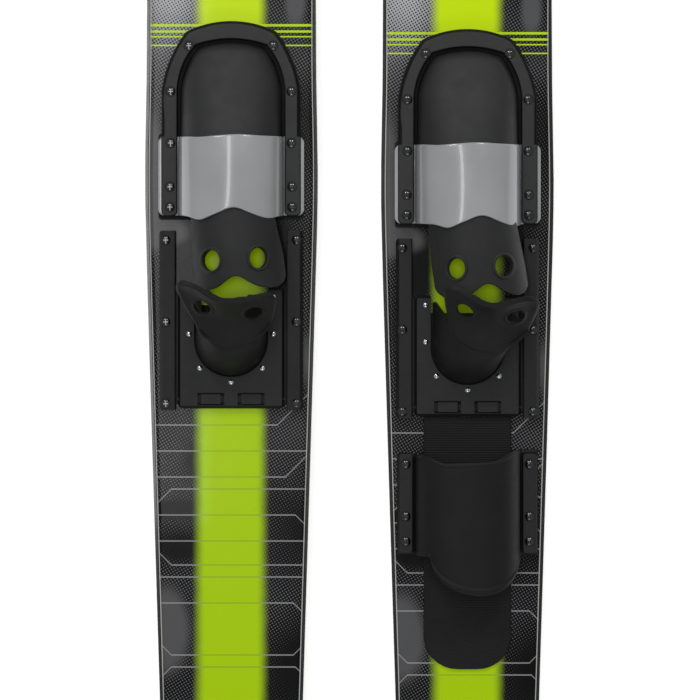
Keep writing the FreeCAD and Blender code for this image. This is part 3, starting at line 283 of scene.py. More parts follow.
# Panel lines: place on the centre line, and where and how they turn at 45 degrees on each side
PANEL_LINES = [(-161, 99, 0, 46, 1), (-187, 99, 0, 99, 0), (-213, 99, 0, 54, 1), (-225, 60, -1, 99, 0),
               (-251, 99, 0, 64, -1), (-277, 99, 0, 99, 0), (-301, 60, 1, 99, 0), (-313, 99, 0, 99, 0),
               (-339, 99, 0, 62, -1), (-391, 60, 1, 62, 1), (-403, 60, -1, 64, -1), (-455, 99, 0, 99, 0),
               (-481, 58, 1, 99, 0), (-493, 99, 0, 58, -1), (-545, 99, 0, 99, 0), (-571, 56, -1, 56, -1)]


def ski_half_width(y):
    """Half the ski's width at each y: a long taper behind, a slight bulge, a round tip and tail."""
    behind = y - 85.0
    rear = WIDEST_WIDTH / 2 - 0.0308 * (np.hypot(behind, 40.0) - 40.0)
    share = np.clip(behind / 130.0, 0, 1)
    fore = WIDEST_WIDTH / 2 - 1.8 * share ** 2 * (3 - 2 * share)
    tip = np.clip((y - SKI_LENGTH / 2 + 430.0) / 430.0, 0, 1)
    tail = np.clip((46.0 - SKI_LENGTH / 2 - y) / 46.0, 0, 1)
    return np.where(behind < 0, rear, fore) * (1 - tip ** 2.4) ** 0.62 * (1 - tail ** 3) ** 0.5


def deck_height(y):
    """The deck's height over its flat part: down in a line to the tail, and along an arc to the tip."""
    radius = (TIP_CURVE_LENGTH ** 2 + TIP_RISE ** 2) / (2 * TIP_RISE)
    run = np.maximum(0.0, y - SKI_LENGTH / 2 + TIP_CURVE_LENGTH)
    base = radius - np.sqrt(radius ** 2 - run ** 2)
    to_tip = np.maximum(0, y - DECK_FLAT[1]) / (SKI_LENGTH / 2 - DECK_FLAT[1])
    to_tail = np.maximum(0, DECK_FLAT[0] - y) / (SKI_LENGTH / 2 + DECK_FLAT[0])
    return base - (SKI_THICKNESS - TIP_THICKNESS) * to_tip - (SKI_THICKNESS - TAIL_THICKNESS) * to_tail


def row_place(grid, side):
    """A grid of points about one ski's deck, in mm, as points of the row's frame in metres."""
    x, y = SKIS[side]
    return (grid + np.array([x, y, DECK_Z])) * MM


def grid_faces(rows, columns, first=0, closed=(False, False)):
    """The quads of a grid of points numbered row by row, joined round where it is closed."""
    row = np.arange(rows if closed[0] else rows - 1)[:, None]
    column = np.arange(columns if closed[1] else columns - 1)[None, :]
    next_row, next_column = (row + 1) % rows, (column + 1) % columns
    corners = [row * columns + column, row * columns + next_column,
               next_row * columns + next_column, next_row * columns + column]
    return first + np.stack(corners, -1).reshape(-1, 4)


def make_piece(name, points, faces, material, body, replaced=()):
    """A smooth-shaded mesh object that rides on a body and stands for CAD nodes."""
    mesh = bpy.data.meshes.new(name)
    corners = [list(map(int, face)) for face in faces]
    mesh.from_pydata(np.asarray(points).reshape(-1, 3).tolist(), [], corners)
    mesh.shade_smooth()
    mesh.materials.append(material)
    made = bpy.data.objects.new(name, mesh)
    bpy.context.scene.collection.objects.link(made)
    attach(made, body)
    if replaced:
        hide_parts(*replaced)
    return made


def thicken(piece, thickness, offset=-1.0, even_wall=True):
    """A wall of this thickness behind the surface."""
    wall = piece.modifiers.new("wall", "SOLIDIFY")
    wall.thickness = thickness * MM
    wall.offset = offset
    wall.use_even_offset = even_wall


def soften(piece, levels=1):
    """Subdivision, the same in the view and the render."""
    round_off = piece.modifiers.new("smooth", "SUBSURF")
    round_off.levels = round_off.render_levels = levels


def blob(x, y, centre, spread):
    """A soft patch: exp of minus the squared distance from its centre, in spreads."""
    squared = ((x - centre[0]) / spread[0]) ** 2.0 + ((y - centre[1]) / spread[1]) ** 2.0
    return squared.math("POWER", 2.718, squared * -1.0)


def deck_print(side):
    """The printed artwork of one deck, on its Object coordinates. A dot is grey where the tone is over the
    screen, 0.5 + (cos u + cos v) / 4, with u and v along the two ways of the dots' rows."""
    made, inputs, place = finish(side + "_deck_print", LIME, 0.3, Specular_IOR_Level=0.14, Coat_Weight=0.1,
                                 Coat_Roughness=0.05)
    spot = centred(place, side)
    x, y, z = spot.parts()
    turn = 2 * math.pi / DOT_PITCH
    along = (x * math.cos(DOT_ANGLE) + y * math.sin(DOT_ANGLE)) * turn
    across = (y * math.cos(DOT_ANGLE) - x * math.sin(DOT_ANGLE)) * turn
    screen = (x.math("COSINE", along) + x.math("COSINE", across)) * 0.25 + 0.5
    drift = spot.noise(0.011, 1.0)
    tone = drift * 0.4 + 0.09 - abs(y - 60).step(600, 780) * 0.5
    for centre, spread, more in TONE_PATCHES:
        tone = tone + blob(x, y, centre, spread) * more
    ink = (tone - screen).step(-0.07, 0.07)
    level = blob(x, y, *BRIGHT_PATCH) * 0.3 + 0.075 + drift * 0.04
    grey = level.node("CombineColor", inputs={0: level, 1: level, 2: level * 1.03})
    dots = ink.mix(paint(5, 5, 6), grey)
    patch = 0.0
    for centre, spread, more in GREY_PATCHES:
        patch = blob(x, y, centre, spread) * more + patch
    field = patch.step(0.25, 0.8).mix(dots, paint(76, 76, 77))
    for place_y, half in LIME_LINES:
        field = (1 - abs(y - place_y).step(half, half + 0.45)).mix(field, paint(172, 205, 10))
    lime = y.step(-120.0, 240.0).mix(DARK_LIME, paint(185, 214, 0))
    stripe = 1 - (abs(x + 0.6) + spot.noise(0.05) * 3.0 - 1.5).step(25.0, 39.5)
    field = stripe.mix(field, lime)
    panels = None
    for place_y, left_turn, left_way, right_turn, right_way in PANEL_LINES:
        bend = y - place_y
        if left_way:
            bend = bend - x.math("MAXIMUM", x * -1.0 - left_turn, 0.0) * left_way
        if right_way:
            bend = bend - x.math("MAXIMUM", x - right_turn, 0.0) * right_way
        near = abs(bend)
        panels = near if panels is None else panels.math("MINIMUM", panels, near)
    panel = (1 - panels.step(0.3, 0.85)) * 0.75
    line_grey = stripe.mix(paint(150, 150, 150), paint(120, 150, 40))
    field = panel.mix(field, line_grey)
    edge = place.node("Attribute", {"attribute_name": "edge"}, output=2)
    rim = edge.step(0.5, 0.9) * (1 - edge.step(1.4, 1.8))
    field = (1 - edge.step(0.4, 0.9)).mix(field, paint(12, 12, 12))
    (rim * 0.8).mix(field, paint(196, 196, 188)).feeds(inputs["Base Color"])
    (place.noise(40.0, 4.0) * 0.16 + 0.2).feeds(inputs["Roughness"])
    return made


def printed_sheet(side):
    """The sheet as a grid: stations along the ski, columns across it, both drawn together at the ends.
    Each point carries its distance from the sheet's outline, for the light line at the edge."""
    half_length = SKI_LENGTH / 2 - SHEET_INSET
    ends = np.sin(np.linspace(0, np.pi / 2, 24))
    stations = np.concatenate([-half_length + 46 * (1 - ends[::-1]),
                               np.linspace(-half_length + 54, 400, 120),
                               half_length - 430 * (1 - ends)])
    stations = np.unique(np.round(stations, 4))
    half = ski_half_width(stations * (SKI_LENGTH / 2) / half_length) * (1 - 2 * SHEET_INSET / WIDEST_WIDTH)
    across = np.linspace(-1, 1, SHEET_COLUMNS)
    along = np.repeat(stations[:, None], SHEET_COLUMNS, 1)
    height = np.repeat(deck_height(stations)[:, None], SHEET_COLUMNS, 1)
    grid = np.stack([across * half[:, None], along, height], -1)
    outline = np.concatenate([grid[:, 0, :2], grid[::-1, -1, :2]])
    gap = np.linalg.norm(grid[:, :, None, :2] - outline, axis=-1).min(-1)
    side_gap = (half[:, None] - np.abs(grid[..., 0])) * 0.999
    sheet = make_piece(side + "_printed_sheet", row_place(grid, side), grid_faces(*grid.shape[:2]),
                       deck_print(side), side + "_ski", [side + "_top_sheet"])
    edge = sheet.data.attributes.new("edge", "FLOAT", "POINT")
    edge.data.foreach_set("value", np.minimum(gap, side_gap).astype(np.float32).ravel())
    thicken(sheet, SHEET_THICKNESS)
    return sheet


for side in SKIS:
    printed_sheet(side)

# Toe plates, toe frames, rails, carriages, strap bars and latches: glass-filled nylon mouldings held
# by the screws that go through them into the ski. Their top faces are painted a mottled grey as painted
# light from above, and their sides, seats and recesses are painted black as painted shade.
PAINTED_SHADE_BLACK = paint(8, 8, 9)
FRAME_TOP = 12.5
RAIL_TOP = 10.0
CARRIAGE_TOP = 9.0
BAR_TOP = 9.7


def moulded(name, grey, top):
    """Black nylon, grained, painted a lighter grey as light where it faces up at this height in mm over the
    deck, and painted black as shade elsewhere.
    """
    made, inputs, place = finish(name, PAINTED_SHADE_BLACK, 0.5, Specular_IOR_Level=0.3)
    normal = Wire(place.tree, place.tree.nodes.new("ShaderNodeNewGeometry").outputs["Normal"])
    over_deck = place.parts()[2] * 1000.0 - DECK_Z
    # Painted light on the up-facing top faces, painted shade on all the rest.
    face = normal.parts()[2].step(0.7, 0.98) * over_deck.step(top - 1.4, top - 0.5)
    lit_top_mottle = place.noise(180.0, 4.0, 0.6).mix(paint(*[grey - 5] * 3), paint(*[grey + 6] * 3))
    face.mix(PAINTED_SHADE_BLACK, lit_top_mottle).feeds(inputs["Base Color"])
    (place.noise(55.0, 3.0) * 0.2 + 0.42).feeds(inputs["Roughness"])
    grained(inputs, place, 2200.0, 0.35)
    return made


# The four greys are painted light: lightest on the toe plates and frames, darker on the carriages, strap
# bars and rails, as light falls off towards the tails.
frame_black = moulded("frame_black", 40, FRAME_TOP)
rail_black = moulded("rail_black", 24, RAIL_TOP)
carriage_black = moulded("carriage_black", 29, CARRIAGE_TOP)
for side in SKIS:
    dress(frame_black, side + "_toe_plate", side + "_toe_frame")
    dress(rail_black, side + "_inner_heel_rail", side + "_outer_heel_rail")
    dress(carriage_black, side + "_heel_carriage", side + "_left_latch", side + "_right_latch")
dress(moulded("bar_black", 27, BAR_TOP), "right_rear_strap_left_bar", "right_rear_strap_right_bar")

# Screws and rivets: blackened pan heads that shine in their dark seats, and bright dome-headed
# rivets that hold the heel rubber to its carriage.
screw_black, inputs, place = finish("black_screws", paint(6, 6, 7), 0.2, Coat_Weight=1.0,
                                    Coat_Roughness=0.04)
(place.noise(500.0) * 0.12 + 0.14).feeds(inputs["Roughness"])
bright, inputs, place = finish("bright_rivets", paint(206, 208, 212), 0.14, Metallic=1.0)
(place.noise(800.0) * 0.16 + 0.08).feeds(inputs["Roughness"])
for side in SKIS:
    dress(screw_black, side + "_toe_screws", side + "_heel_rail_screws")
    dress(bright, side + "_heel_rivets")
dress(screw_black, "right_rear_strap_screws")

# Toe rubbers: a flange clamped under the frame, a vault over the foot and a soft flap behind it
# with two pull holes, moulded in one from black rubber with a fine matt grain.
FRAME_REAR = 47.5
FRAME_SEAT = 5.5
FRAME_INNER = 53.5
FRAME_BEND_Y = 173.0
VAULT_INSET = 3.6
VAULT_FRONT = 214.5
VAULT_BOW = 6.0
INSTEP_HEIGHT = 60.0
TOE_HEIGHT = 17.0
FLAP_DROP = 3.0
FLAP_REAR = -26.0
FLAP_ARCH = (12.5, 15.5)         # depth and half width of the arch in the flap's rear edge
PULL_HOLE = (23.8, 3.3)          # from the middle of the pair, and its place along the ski
PULL_HOLE_HALF = (8.6, 10.0)     # half its width and length, seen from above
RUBBER_WALL = 3.2
FRAME_SIDE_BULGE = 4.0
# How far aside each flap's end lies, the middle of the arch in its edge, the middle of its two holes,
# and half its width in front and behind
FLAP_SHIFT = {"left": 8.4, "right": 11.4}
ARCH_X = {"left": -3.0, "right": 5.7}
HOLES_X = {"left": 5.3, "right": 10.3}
FLAP_HALF = {"left": (40.0, 46.2), "right": (43.0, 46.5)}
FLAP_TILT = 0.05                 # the right side lies further forward
# The flange's section, as its share of the way out and its height, and the two horseshoes that it runs
# between: the legs' place, the sides' place, the front corner and the front
FLANGE_SECTION = [(1, 2.6), (1, 4.7), (0.98, 5.2), (0.94, 5.4), (0.06, 5.4), (0, 5.2), (0, 2.6)]
FLANGE_OUTER = (71.5, 68.5, (44.8, 231.3), 241.5)
FLANGE_INNER = (49.6, 49.6, (32.6, 215.0), 219.0)
# An eyelet's section: how far out from the hole and how high over the flap
EYELET_SECTION = [(0, -6.0), (0, -0.3), (0.4, 0.8), (1.6, 1.3), (2.9, 0.9), (3.8, -0.4), (3.6, -3.0),
                  (1.6, -6.0)]
EYELET_LEAN = 0.6


def black_rubber(name, shade, specular):
    """Moulded rubber of this shade: a fine matt grain, with a faint grey bloom in patches."""
    made, inputs, place = finish(name, paint(*[shade] * 3), 0.55, Specular_IOR_Level=specular)
    bloom = place.noise(26.0, 5.0, 0.6).mix(paint(*[shade - 5] * 3), paint(*[shade + 7] * 3))
    bloom.feeds(inputs["Base Color"])
    (place.noise(90.0, 3.0) * 0.2 + 0.46).feeds(inputs["Roughness"])
    grained(inputs, place, 1500.0, 0.5, 0.00025)
    return made


# Two shades of one rubber: the toe's lighter shade is painted light, and the darker shade of the heel cup,
# its floor and strip and the rear strap is painted shade, as light falls off towards the tail.
lit_toe_rubber = black_rubber("toe_rubber", 27, 0.4)
shaded_rear_rubber = black_rubber("heel_rubber", 17, 0.22)
# The flange's near-black is painted shade, for the groove between the frame and the vault.
shaded_flange_rubber = black_rubber("shaded_flange_rubber", 9, 0.15)


def opening_half_width(y):
    """Half the frame's opening: parallel sides, then drawn in to the front corners in a bow."""
    share = np.clip((y - FRAME_BEND_Y) / 45.0, 0, None)
    return FRAME_INNER - 18.0 * share + 13.6 * share * (1 - share)


def vault_top(y):
    """The arch's top: a power fall from the instep to the toes, and a slight fall over the flap."""
    share = np.clip((y - FRAME_REAR) / 170.5, 0, 1)
    flap = np.clip((FRAME_REAR - y) / 73.5, 0, None)
    return INSTEP_HEIGHT - (INSTEP_HEIGHT - TOE_HEIGHT) * share ** 1.8 - FLAP_DROP * flap


def even(lines, count):
    """Every row of points taken again at even steps of its length."""
    steps = np.linalg.norm(np.diff(lines, axis=1), axis=-1)
    run = np.concatenate([np.zeros((len(lines), 1)), np.cumsum(steps, 1)], 1)
    wanted = np.linspace(0, 1, count)
    return np.stack([np.stack([np.interp(wanted * r[-1], r, line[:, k]) for k in range(3)], -1)
                     for r, line in zip(run, lines)])


def arch_lines(y, half, top, low, count=241):
    """Arches across: height = top * (1 - (x/half)^2.2)^(1/3), between feet at the height low."""
    turn = np.linspace(0, np.pi, count)
    x = -np.sign(np.cos(turn)) * np.abs(np.cos(turn)) ** (2 / 2.2)
    z = np.sin(turn) ** (2 / 3)
    return np.stack([half[:, None] * x, np.repeat(y[:, None], count, 1),
                     np.maximum(top[:, None] * z, low)], -1)


def normals(grid):
    """Unit normals of a grid of points, to the side from which its columns and rows turn left."""
    normal = np.cross(np.gradient(grid, axis=1), np.gradient(grid, axis=0))
    return normal / np.maximum(np.linalg.norm(normal, axis=-1, keepdims=True), 1e-9)


def pierced(grid, holes, rim):
    """A grid with round holes: cells whose middle is inside a hole go, and the vertices round them move
    onto its circle. Round each hole the surface rises by the rim. A hole is a centre, axis and radius."""
    rows, columns = grid.shape[:2]
    faces = grid_faces(rows, columns)
    points, normal = grid.reshape(-1, 3).copy(), normals(grid).reshape(-1, 3)
    keep = np.ones(len(faces), bool)
    for centre, axis, radius in holes:
        axis = np.array(axis) / np.linalg.norm(axis)
        offset = points - centre
        depth = offset @ axis
        away = offset - depth[:, None] * axis
        distance = np.linalg.norm(away, axis=1)
        close = np.abs(depth) < 2.5 * radius
        inside = (distance[faces].mean(1) < radius) & close[faces].all(1)
        border = np.intersect1d(faces[inside], faces[~inside])
        points[border] += away[border] * (radius / distance[border] - 1)[:, None]
        ring = np.exp(-((distance - radius - 1.8) / 1.3) ** 2) * close
        points += normal * (rim * ring)[:, None]
        keep &= ~inside
    return points, faces[keep]


def arc_points(p, middle, q, count):
    """Points on the circle through three points, from the first to the last."""
    (ax, ay), (bx, by), (cx, cy) = p, middle, q
    d = 2 * (ax * (by - cy) + bx * (cy - ay) + cx * (ay - by))
    squares = ax * ax + ay * ay, bx * bx + by * by, cx * cx + cy * cy
    ux = (squares[0] * (by - cy) + squares[1] * (cy - ay) + squares[2] * (ay - by)) / d
    uy = (squares[0] * (cx - bx) + squares[1] * (ax - cx) + squares[2] * (bx - ax)) / d
    start, end = math.atan2(ay - uy, ax - ux), math.atan2(cy - uy, cx - ux)
    via = math.atan2(by - uy, bx - ux)
    swing = (end - start) % (2 * math.pi)
    if (via - start) % (2 * math.pi) > swing:
        swing -= 2 * math.pi
    turn = start + np.linspace(0, 1, count) * swing
    radius = math.hypot(ax - ux, ay - uy)
    return np.stack([ux + radius * np.cos(turn), uy + radius * np.sin(turn)], -1)


def horseshoe(leg, side_x, corner, front):
    """A line from the right leg's end round the front to the left leg: straight, bowed, then round."""
    bend, corner = np.array([side_x, FRAME_BEND_Y]), np.array(corner)
    run = corner - bend
    bow = (corner + bend) / 2 + np.array([run[1], -run[0]]) / np.linalg.norm(run) * FRAME_SIDE_BULGE
    stops = np.array([(leg, FRAME_REAR), (leg, 125.0), (side_x, 131.0), bend])
    legs = np.concatenate([np.linspace(a, b, 14, endpoint=False) for a, b in zip(stops, stops[1:])])
    half = np.concatenate([legs, arc_points(bend, bow, corner, 21)[:-1],
                           arc_points(corner, (0.0, front), (-corner[0], corner[1]), 61)[:31]])
    line = np.concatenate([half, half[-2::-1] * np.array([-1.0, 1.0])])
    for smoothing in range(8):
        line[1:-1] = (line[:-2] + 2 * line[1:-1] + line[2:]) / 4
    return line


def outward(points, faces):
    """The faces of a closed form, all turned outwards."""
    a, b, c, d = (points.reshape(-1, 3)[faces[:, k]] for k in range(4))
    volume = (np.cross(a, b) * c).sum() + (np.cross(a, c) * d).sum()
    return faces if volume > 0 else faces[:, ::-1]


def end_caps(rows, columns):
    """The two faces that close the ends of a section carried along a line."""
    first = np.arange(columns)
    return [first.tolist(), (first + (rows - 1) * columns)[::-1].tolist()]


def clamped_flange(side):
    """The flange as a closed section, flat with rounded edges, run round between two horseshoes."""
    outer, inner = horseshoe(*FLANGE_OUTER), horseshoe(*FLANGE_INNER)
    across, height = np.array(FLANGE_SECTION).T
    flat = inner[:, None] + (outer - inner)[:, None] * across[None, :, None]
    grid = np.concatenate([flat, np.repeat(height[None, :, None], len(outer), 0)], -1)
    faces = outward(grid, grid_faces(*grid.shape[:2], closed=(False, True)))
    faces = faces.tolist() + end_caps(*grid.shape[:2])
    return make_piece(side + "_toe_rubber_flange", row_place(grid, side), faces, shaded_flange_rubber,
                      side + "_ski")


def flap_middle(side, y):
    """How far aside the flap's middle lies at each y."""
    return FLAP_SHIFT[side] * np.clip((70.0 - y) / 76.0, 0, None)


def flap_height(side, x, y):
    """The flap's surface: the vault's arch, moved aside with it."""
    share = np.abs((x - flap_middle(side, y)) / (FRAME_INNER - VAULT_INSET))
    return vault_top(y) * np.clip(1 - share ** 2.2, 0, 1) ** (1 / 3) - 0.2


def pull_holes(side):
    """The two pull holes: -1 or 1 for the side they are on, and x and y of their middles."""
    reach, y = PULL_HOLE
    return [(way, HOLES_X[side] + way * reach, y + way * reach * FLAP_TILT) for way in (-1, 1)]


def flap_eyelets(side):
    """The raised rims of the two pull holes: a closed section turned round an ellipse on the flap. Below
    the flap it leans towards the other hole, by a share of its depth."""
    turn = np.linspace(0, 2 * np.pi, 48, endpoint=False)[:, None]
    out, rise = np.array(EYELET_SECTION).T
    half_x, half_y = PULL_HOLE_HALF
    rims, faces = [], []
    for way, middle_x, middle_y in pull_holes(side):
        x = middle_x + (half_x + out) * np.cos(turn)
        y = middle_y + (half_y + out) * np.sin(turn)
        z = flap_height(side, x, y) + rise
        rim = np.stack([x + way * EYELET_LEAN * np.minimum(rise, 0), y, z], -1)
        ring = outward(rim, grid_faces(*rim.shape[:2], closed=(True, True)))
        faces.append(ring + len(rims) * rim[..., 0].size)
        rims.append(rim.reshape(-1, 3))
    made = make_piece(side + "_flap_eyelets", row_place(np.concatenate(rims), side), np.concatenate(faces),
                      lit_toe_rubber, side + "_ski")
    soften(made)
    return made


def toe_rubber(side):
    """Vault and flap as two grids in one mesh, with a wall under them. The flap's rear edge is a line with
    an arch, exp of minus a square, and two round corners."""
    nose = 0.9 + 0.1 * np.sin(np.linspace(0, np.pi / 2, 16))[1:]
    share = np.concatenate([np.linspace(0, 0.9, 44), nose])
    y = FRAME_REAR + (VAULT_FRONT - FRAME_REAR) * share
    half = opening_half_width(y) - VAULT_INSET
    end = np.clip((share - 0.93) / 0.07, 0, 1)
    top = vault_top(y) * np.sqrt(1 - end ** 3) + 4.2 * end ** 3
    vault = even(arch_lines(y, half, top, 3.4), 61)
    vault[..., 1] += VAULT_BOW * (1 - (vault[..., 0] / half[:, None]) ** 2) * share[:, None] ** 6

    narrow, wide = FLAP_HALF[side]
    arch_depth, arch_half = FLAP_ARCH
    across = np.linspace(-1, 1, 91)
    across = 0.6 * across + 0.4 * np.sin(across * np.pi / 2)
    back = np.linspace(0, 1, 86)[:, None]
    corner = np.clip((np.abs(across) - 0.7) / 0.3, 0, 1)
    edge = (FLAP_REAR + arch_depth * np.exp(-((across * wide - ARCH_X[side]) / arch_half) ** 2)
            + 14.0 * (1 - np.sqrt(1 - corner ** 2)))
    flap_y = 62.0 + (edge - 62.0) * back
    local = across * (narrow + (wide - narrow) * np.clip((60.0 - flap_y) / 54.0, 0, 1))
    flap_x = local + flap_middle(side, flap_y)
    flap_z = flap_height(side, flap_x, flap_y)
    flap = np.stack([flap_x, flap_y + FLAP_TILT * local * back, flap_z], -1)[::-1]
    holes = [(np.array([x, middle_y, 50.0]), (0, 0, 1), PULL_HOLE_HALF[1] + 0.4)
             for way, x, middle_y in pull_holes(side)]
    flap_points, flap_faces = pierced(flap, holes, 0.0)
    points = np.concatenate([vault.reshape(-1, 3), flap_points])
    faces = np.concatenate([grid_faces(*vault.shape[:2]), flap_faces + vault[..., 0].size])
    made = make_piece(side + "_toe_rubber_skin", row_place(points, side), faces, lit_toe_rubber,
                      side + "_ski", [side + "_toe_rubber"])
    thicken(made, RUBBER_WALL)
    soften(made)
    return made


for side in SKIS:
    clamped_flange(side)
    toe_rubber(side)
    flap_eyelets(side)

# Instep bands: stiff glossy grey plastic strips bent over the vault. Their straight feet are
# clamped under the frame's legs, and the free edges in front and behind are softly waved.
BAND_HALF_WIDTH = 73.0
BAND_FRONT = 127.0
BAND_REAR = 48.0
BAND_THICKNESS = 2.2
BAND_WAVE = {"left": 4.5, "right": 12.0}     # where the rear edge stands furthest forward

band_grey, inputs, place = finish("grey_band", paint(140, 141, 142), 0.2, Coat_Weight=0.5,
                                  Coat_Roughness=0.05)
place.noise(14.0, 3.0).mix(paint(130, 131, 132), paint(152, 153, 154)).feeds(inputs["Base Color"])
(place.noise(120.0, 4.0) * 0.12 + 0.16).feeds(inputs["Roughness"])
grained(inputs, place, 90.0, 0.12, 0.0004)


def flat_foot(y, reach, height):
    """The flat left foot of an arched sheet: a row of points at each y, from the outside inwards."""
    shape = len(y), len(reach)
    return np.stack([np.broadcast_to(-reach, shape), np.broadcast_to(y[:, None], shape),
                     np.full(shape, height)], -1)


def instep_band(side):
    """Arches a little over the vault, run out flat at both feet, between two waved edges. Each wave is a
    sum of bumps, exp of minus a square."""
    y = np.linspace(BAND_REAR, BAND_FRONT, 40)
    half = opening_half_width(y) - VAULT_INSET + 0.6
    arches = arch_lines(y, half, vault_top(y) + 0.6, FRAME_SEAT + 0.2)
    left = flat_foot(y, np.linspace(BAND_HALF_WIDTH, 54.0, 12), FRAME_SEAT + 0.1)
    right = left[:, ::-1] * np.array([-1, 1, 1])
    grid = even(np.concatenate([left, arches[:, 3:-3], right], 1), 121)
    x, share = grid[..., 0], (grid[..., 1] - BAND_REAR) / (BAND_FRONT - BAND_REAR)
    off = x - BAND_WAVE[side]
    rear = 8.5 * np.exp(-(off / 16) ** 2) - (3.0 - 0.02 * off) * np.exp(-((np.abs(off) - 33) / 9) ** 2)
    fore = 1.4 * np.exp(-((x - 8) / 18) ** 2) - 1.0 * np.exp(-((x + 30) / 12) ** 2)
    corner = 5.0 * np.clip((np.abs(x) - 68.0) / 5.0, 0, 1) ** 2
    set_back = 3.2 * np.clip((grid[..., 2] - FRAME_SEAT) / INSTEP_HEIGHT, 0, 1)
    grid[..., 1] += (rear + corner) * (1 - share) + (fore - corner) * share - set_back
    made = make_piece(side + "_instep_band_skin", row_place(grid, side), grid_faces(*grid.shape[:2]),
                      band_grey, side + "_ski", [side + "_instep_band"])
    thicken(made, BAND_THICKNESS, 1.0)
    soften(made)
    return made


for side in SKIS:
    instep_band(side)

# Heel rubbers: a cup that stands on the sliding carriage, riveted by its flange, and leans forward over
# the ankle. Above a crease its collar spreads in two wings, with a turned rim and two finger holes.
# Black moulded rubber. A thin floor joins the cup's sides, and a thin dark strip below the latches is
# painted shade: it covers the deck under the latches and in the gap behind the carriage.
HEEL_WALL = 4.8
HEEL_COLUMNS = 105
CUP_HALF = 35.6
CUP_BACK = -112.0
CUP_FRONT = -30.0
CUP_FOOT_HEIGHT = 10.0
COLLAR_REACH = 52.0              # half its width, laid flat
COLLAR_RISE = 57.0               # its height, laid flat
COLLAR_CORNER = 9.0
EDGE_WIDTH = (1.7, 3.2)          # the turned edge at the rim and at the arms' ends: its width
EDGE_DROP = (5.0, 1.6)           # and how far it falls
HOLE_SHARE = (0.5, 0.57)         # a finger hole's place, as shares of the collar's reach and rise
HOLE_RADIUS = 8.0
SOLE_HALF = 39.6
SOLE_FRONT = -41.0
SOLE_MIDDLE = (0.0, -75.0, 0.0)
# The floor's section, as its share of the way out and its height, and the shade strip's, as y and z
SOLE_SECTION = [(0.02, 2.5), (0.98, 2.5), (1.0, 2.8), (0.985, 3.2), (0.6, 3.3), (0.02, 3.3)]
SHADE_STRIP_SECTION = [(-144.5, 0.08), (-144.5, 0.3), (-144.0, 0.36), (-126.5, 0.36), (-126.0, 0.3),
                 (-126.0, 0.08)]
SHADE_STRIP_HALF = 48.0
# Places on the outside from the left arm's end to the right arm's: along the crease, then along the rim
CREASE_HEIGHT = 58.0
CREASE_LINE = {
    "left": [(-31.5, -65.5), (-26.5, -72.3), (-17.4, -78.6), (-0.6, -83.2), (19.0, -80.4), (33.0, -72.0),
             (43.0, -60.5)],
    "right": [(-22.0, -52.0), (-17.6, -60.8), (-10.2, -68.5), (3.4, -77.4), (21.5, -80.6), (39.7, -75.2),
              (52.2, -66.4), (59.5, -58.5)]}
RIM_LINE = {
    "left": [(-53.5, -23.5, 91), (-45.5, -21.5, 94), (-31.0, -26.0, 97), (-18.4, -34.2, 98),
             (-7.2, -39.0, 98), (6.9, -39.8, 98), (20.9, -37.4, 98), (34.9, -34.2, 96), (42.0, -34.6, 93),
             (47.5, -37.5, 89)],
    "right": [(-27.5, -19.5, 91), (-19.5, -18.6, 94), (-11.4, -20.4, 96), (-3.4, -25.4, 98),
              (7.2, -32.4, 98), (19.7, -36.0, 98), (29.5, -35.6, 98), (40.7, -32.4, 98), (51.8, -29.6, 97),
              (60.4, -30.2, 94), (68.0, -34.0, 90)]}


def flowing(keys, count):
    """Points through keys, joined by cubic pieces whose slopes are the mean of their neighbours'."""
    at = np.linspace(0, len(keys) - 1, count)
    slope = np.gradient(keys, axis=0)
    low = np.clip(np.floor(at).astype(int), 0, len(keys) - 2)
    t = (at - low)[:, None]
    a, b, da, db = keys[low], keys[low + 1], slope[low], slope[low + 1]
    return ((2 * t ** 3 - 3 * t ** 2 + 1) * a + (t ** 3 - 2 * t ** 2 + t) * da
            + (3 * t ** 2 - 2 * t ** 3) * b + (t ** 3 - t ** 2) * db)


def place_along(line, share):
    """The places at shares 0 to 1 of a line's length."""
    run = np.concatenate([[0.0], np.cumsum(np.linalg.norm(np.diff(line, axis=0), axis=1))])
    return np.stack([np.interp(share, run / run[-1], line[:, k]) for k in range(3)], -1)


def cup_foot(half, back, front, height, count):
    """A U seen from above: two straight arms and half an ellipse behind."""
    turn = np.linspace(0, np.pi, count)
    bend = np.stack([-half * np.cos(turn), back + half * (1 - np.sin(turn))], -1)
    flat = np.concatenate([[(-half, front)], bend, [(half, front)]])
    return np.column_stack([flat, np.full(len(flat), height)])


def turned(t, straight):
    """How far a wall has gone the level and the upright way: part straight, part a quarter circle."""
    return (straight * t + (1 - straight) * np.sin(t * np.pi / 2),
            straight * t + (1 - straight) * (1 - np.cos(t * np.pi / 2)))


def between(low, high, level, upright):
    """Points from the line low to the line high, this far on the level way and the upright way."""
    return low + (high - low) * np.stack([level, level, upright], -1)


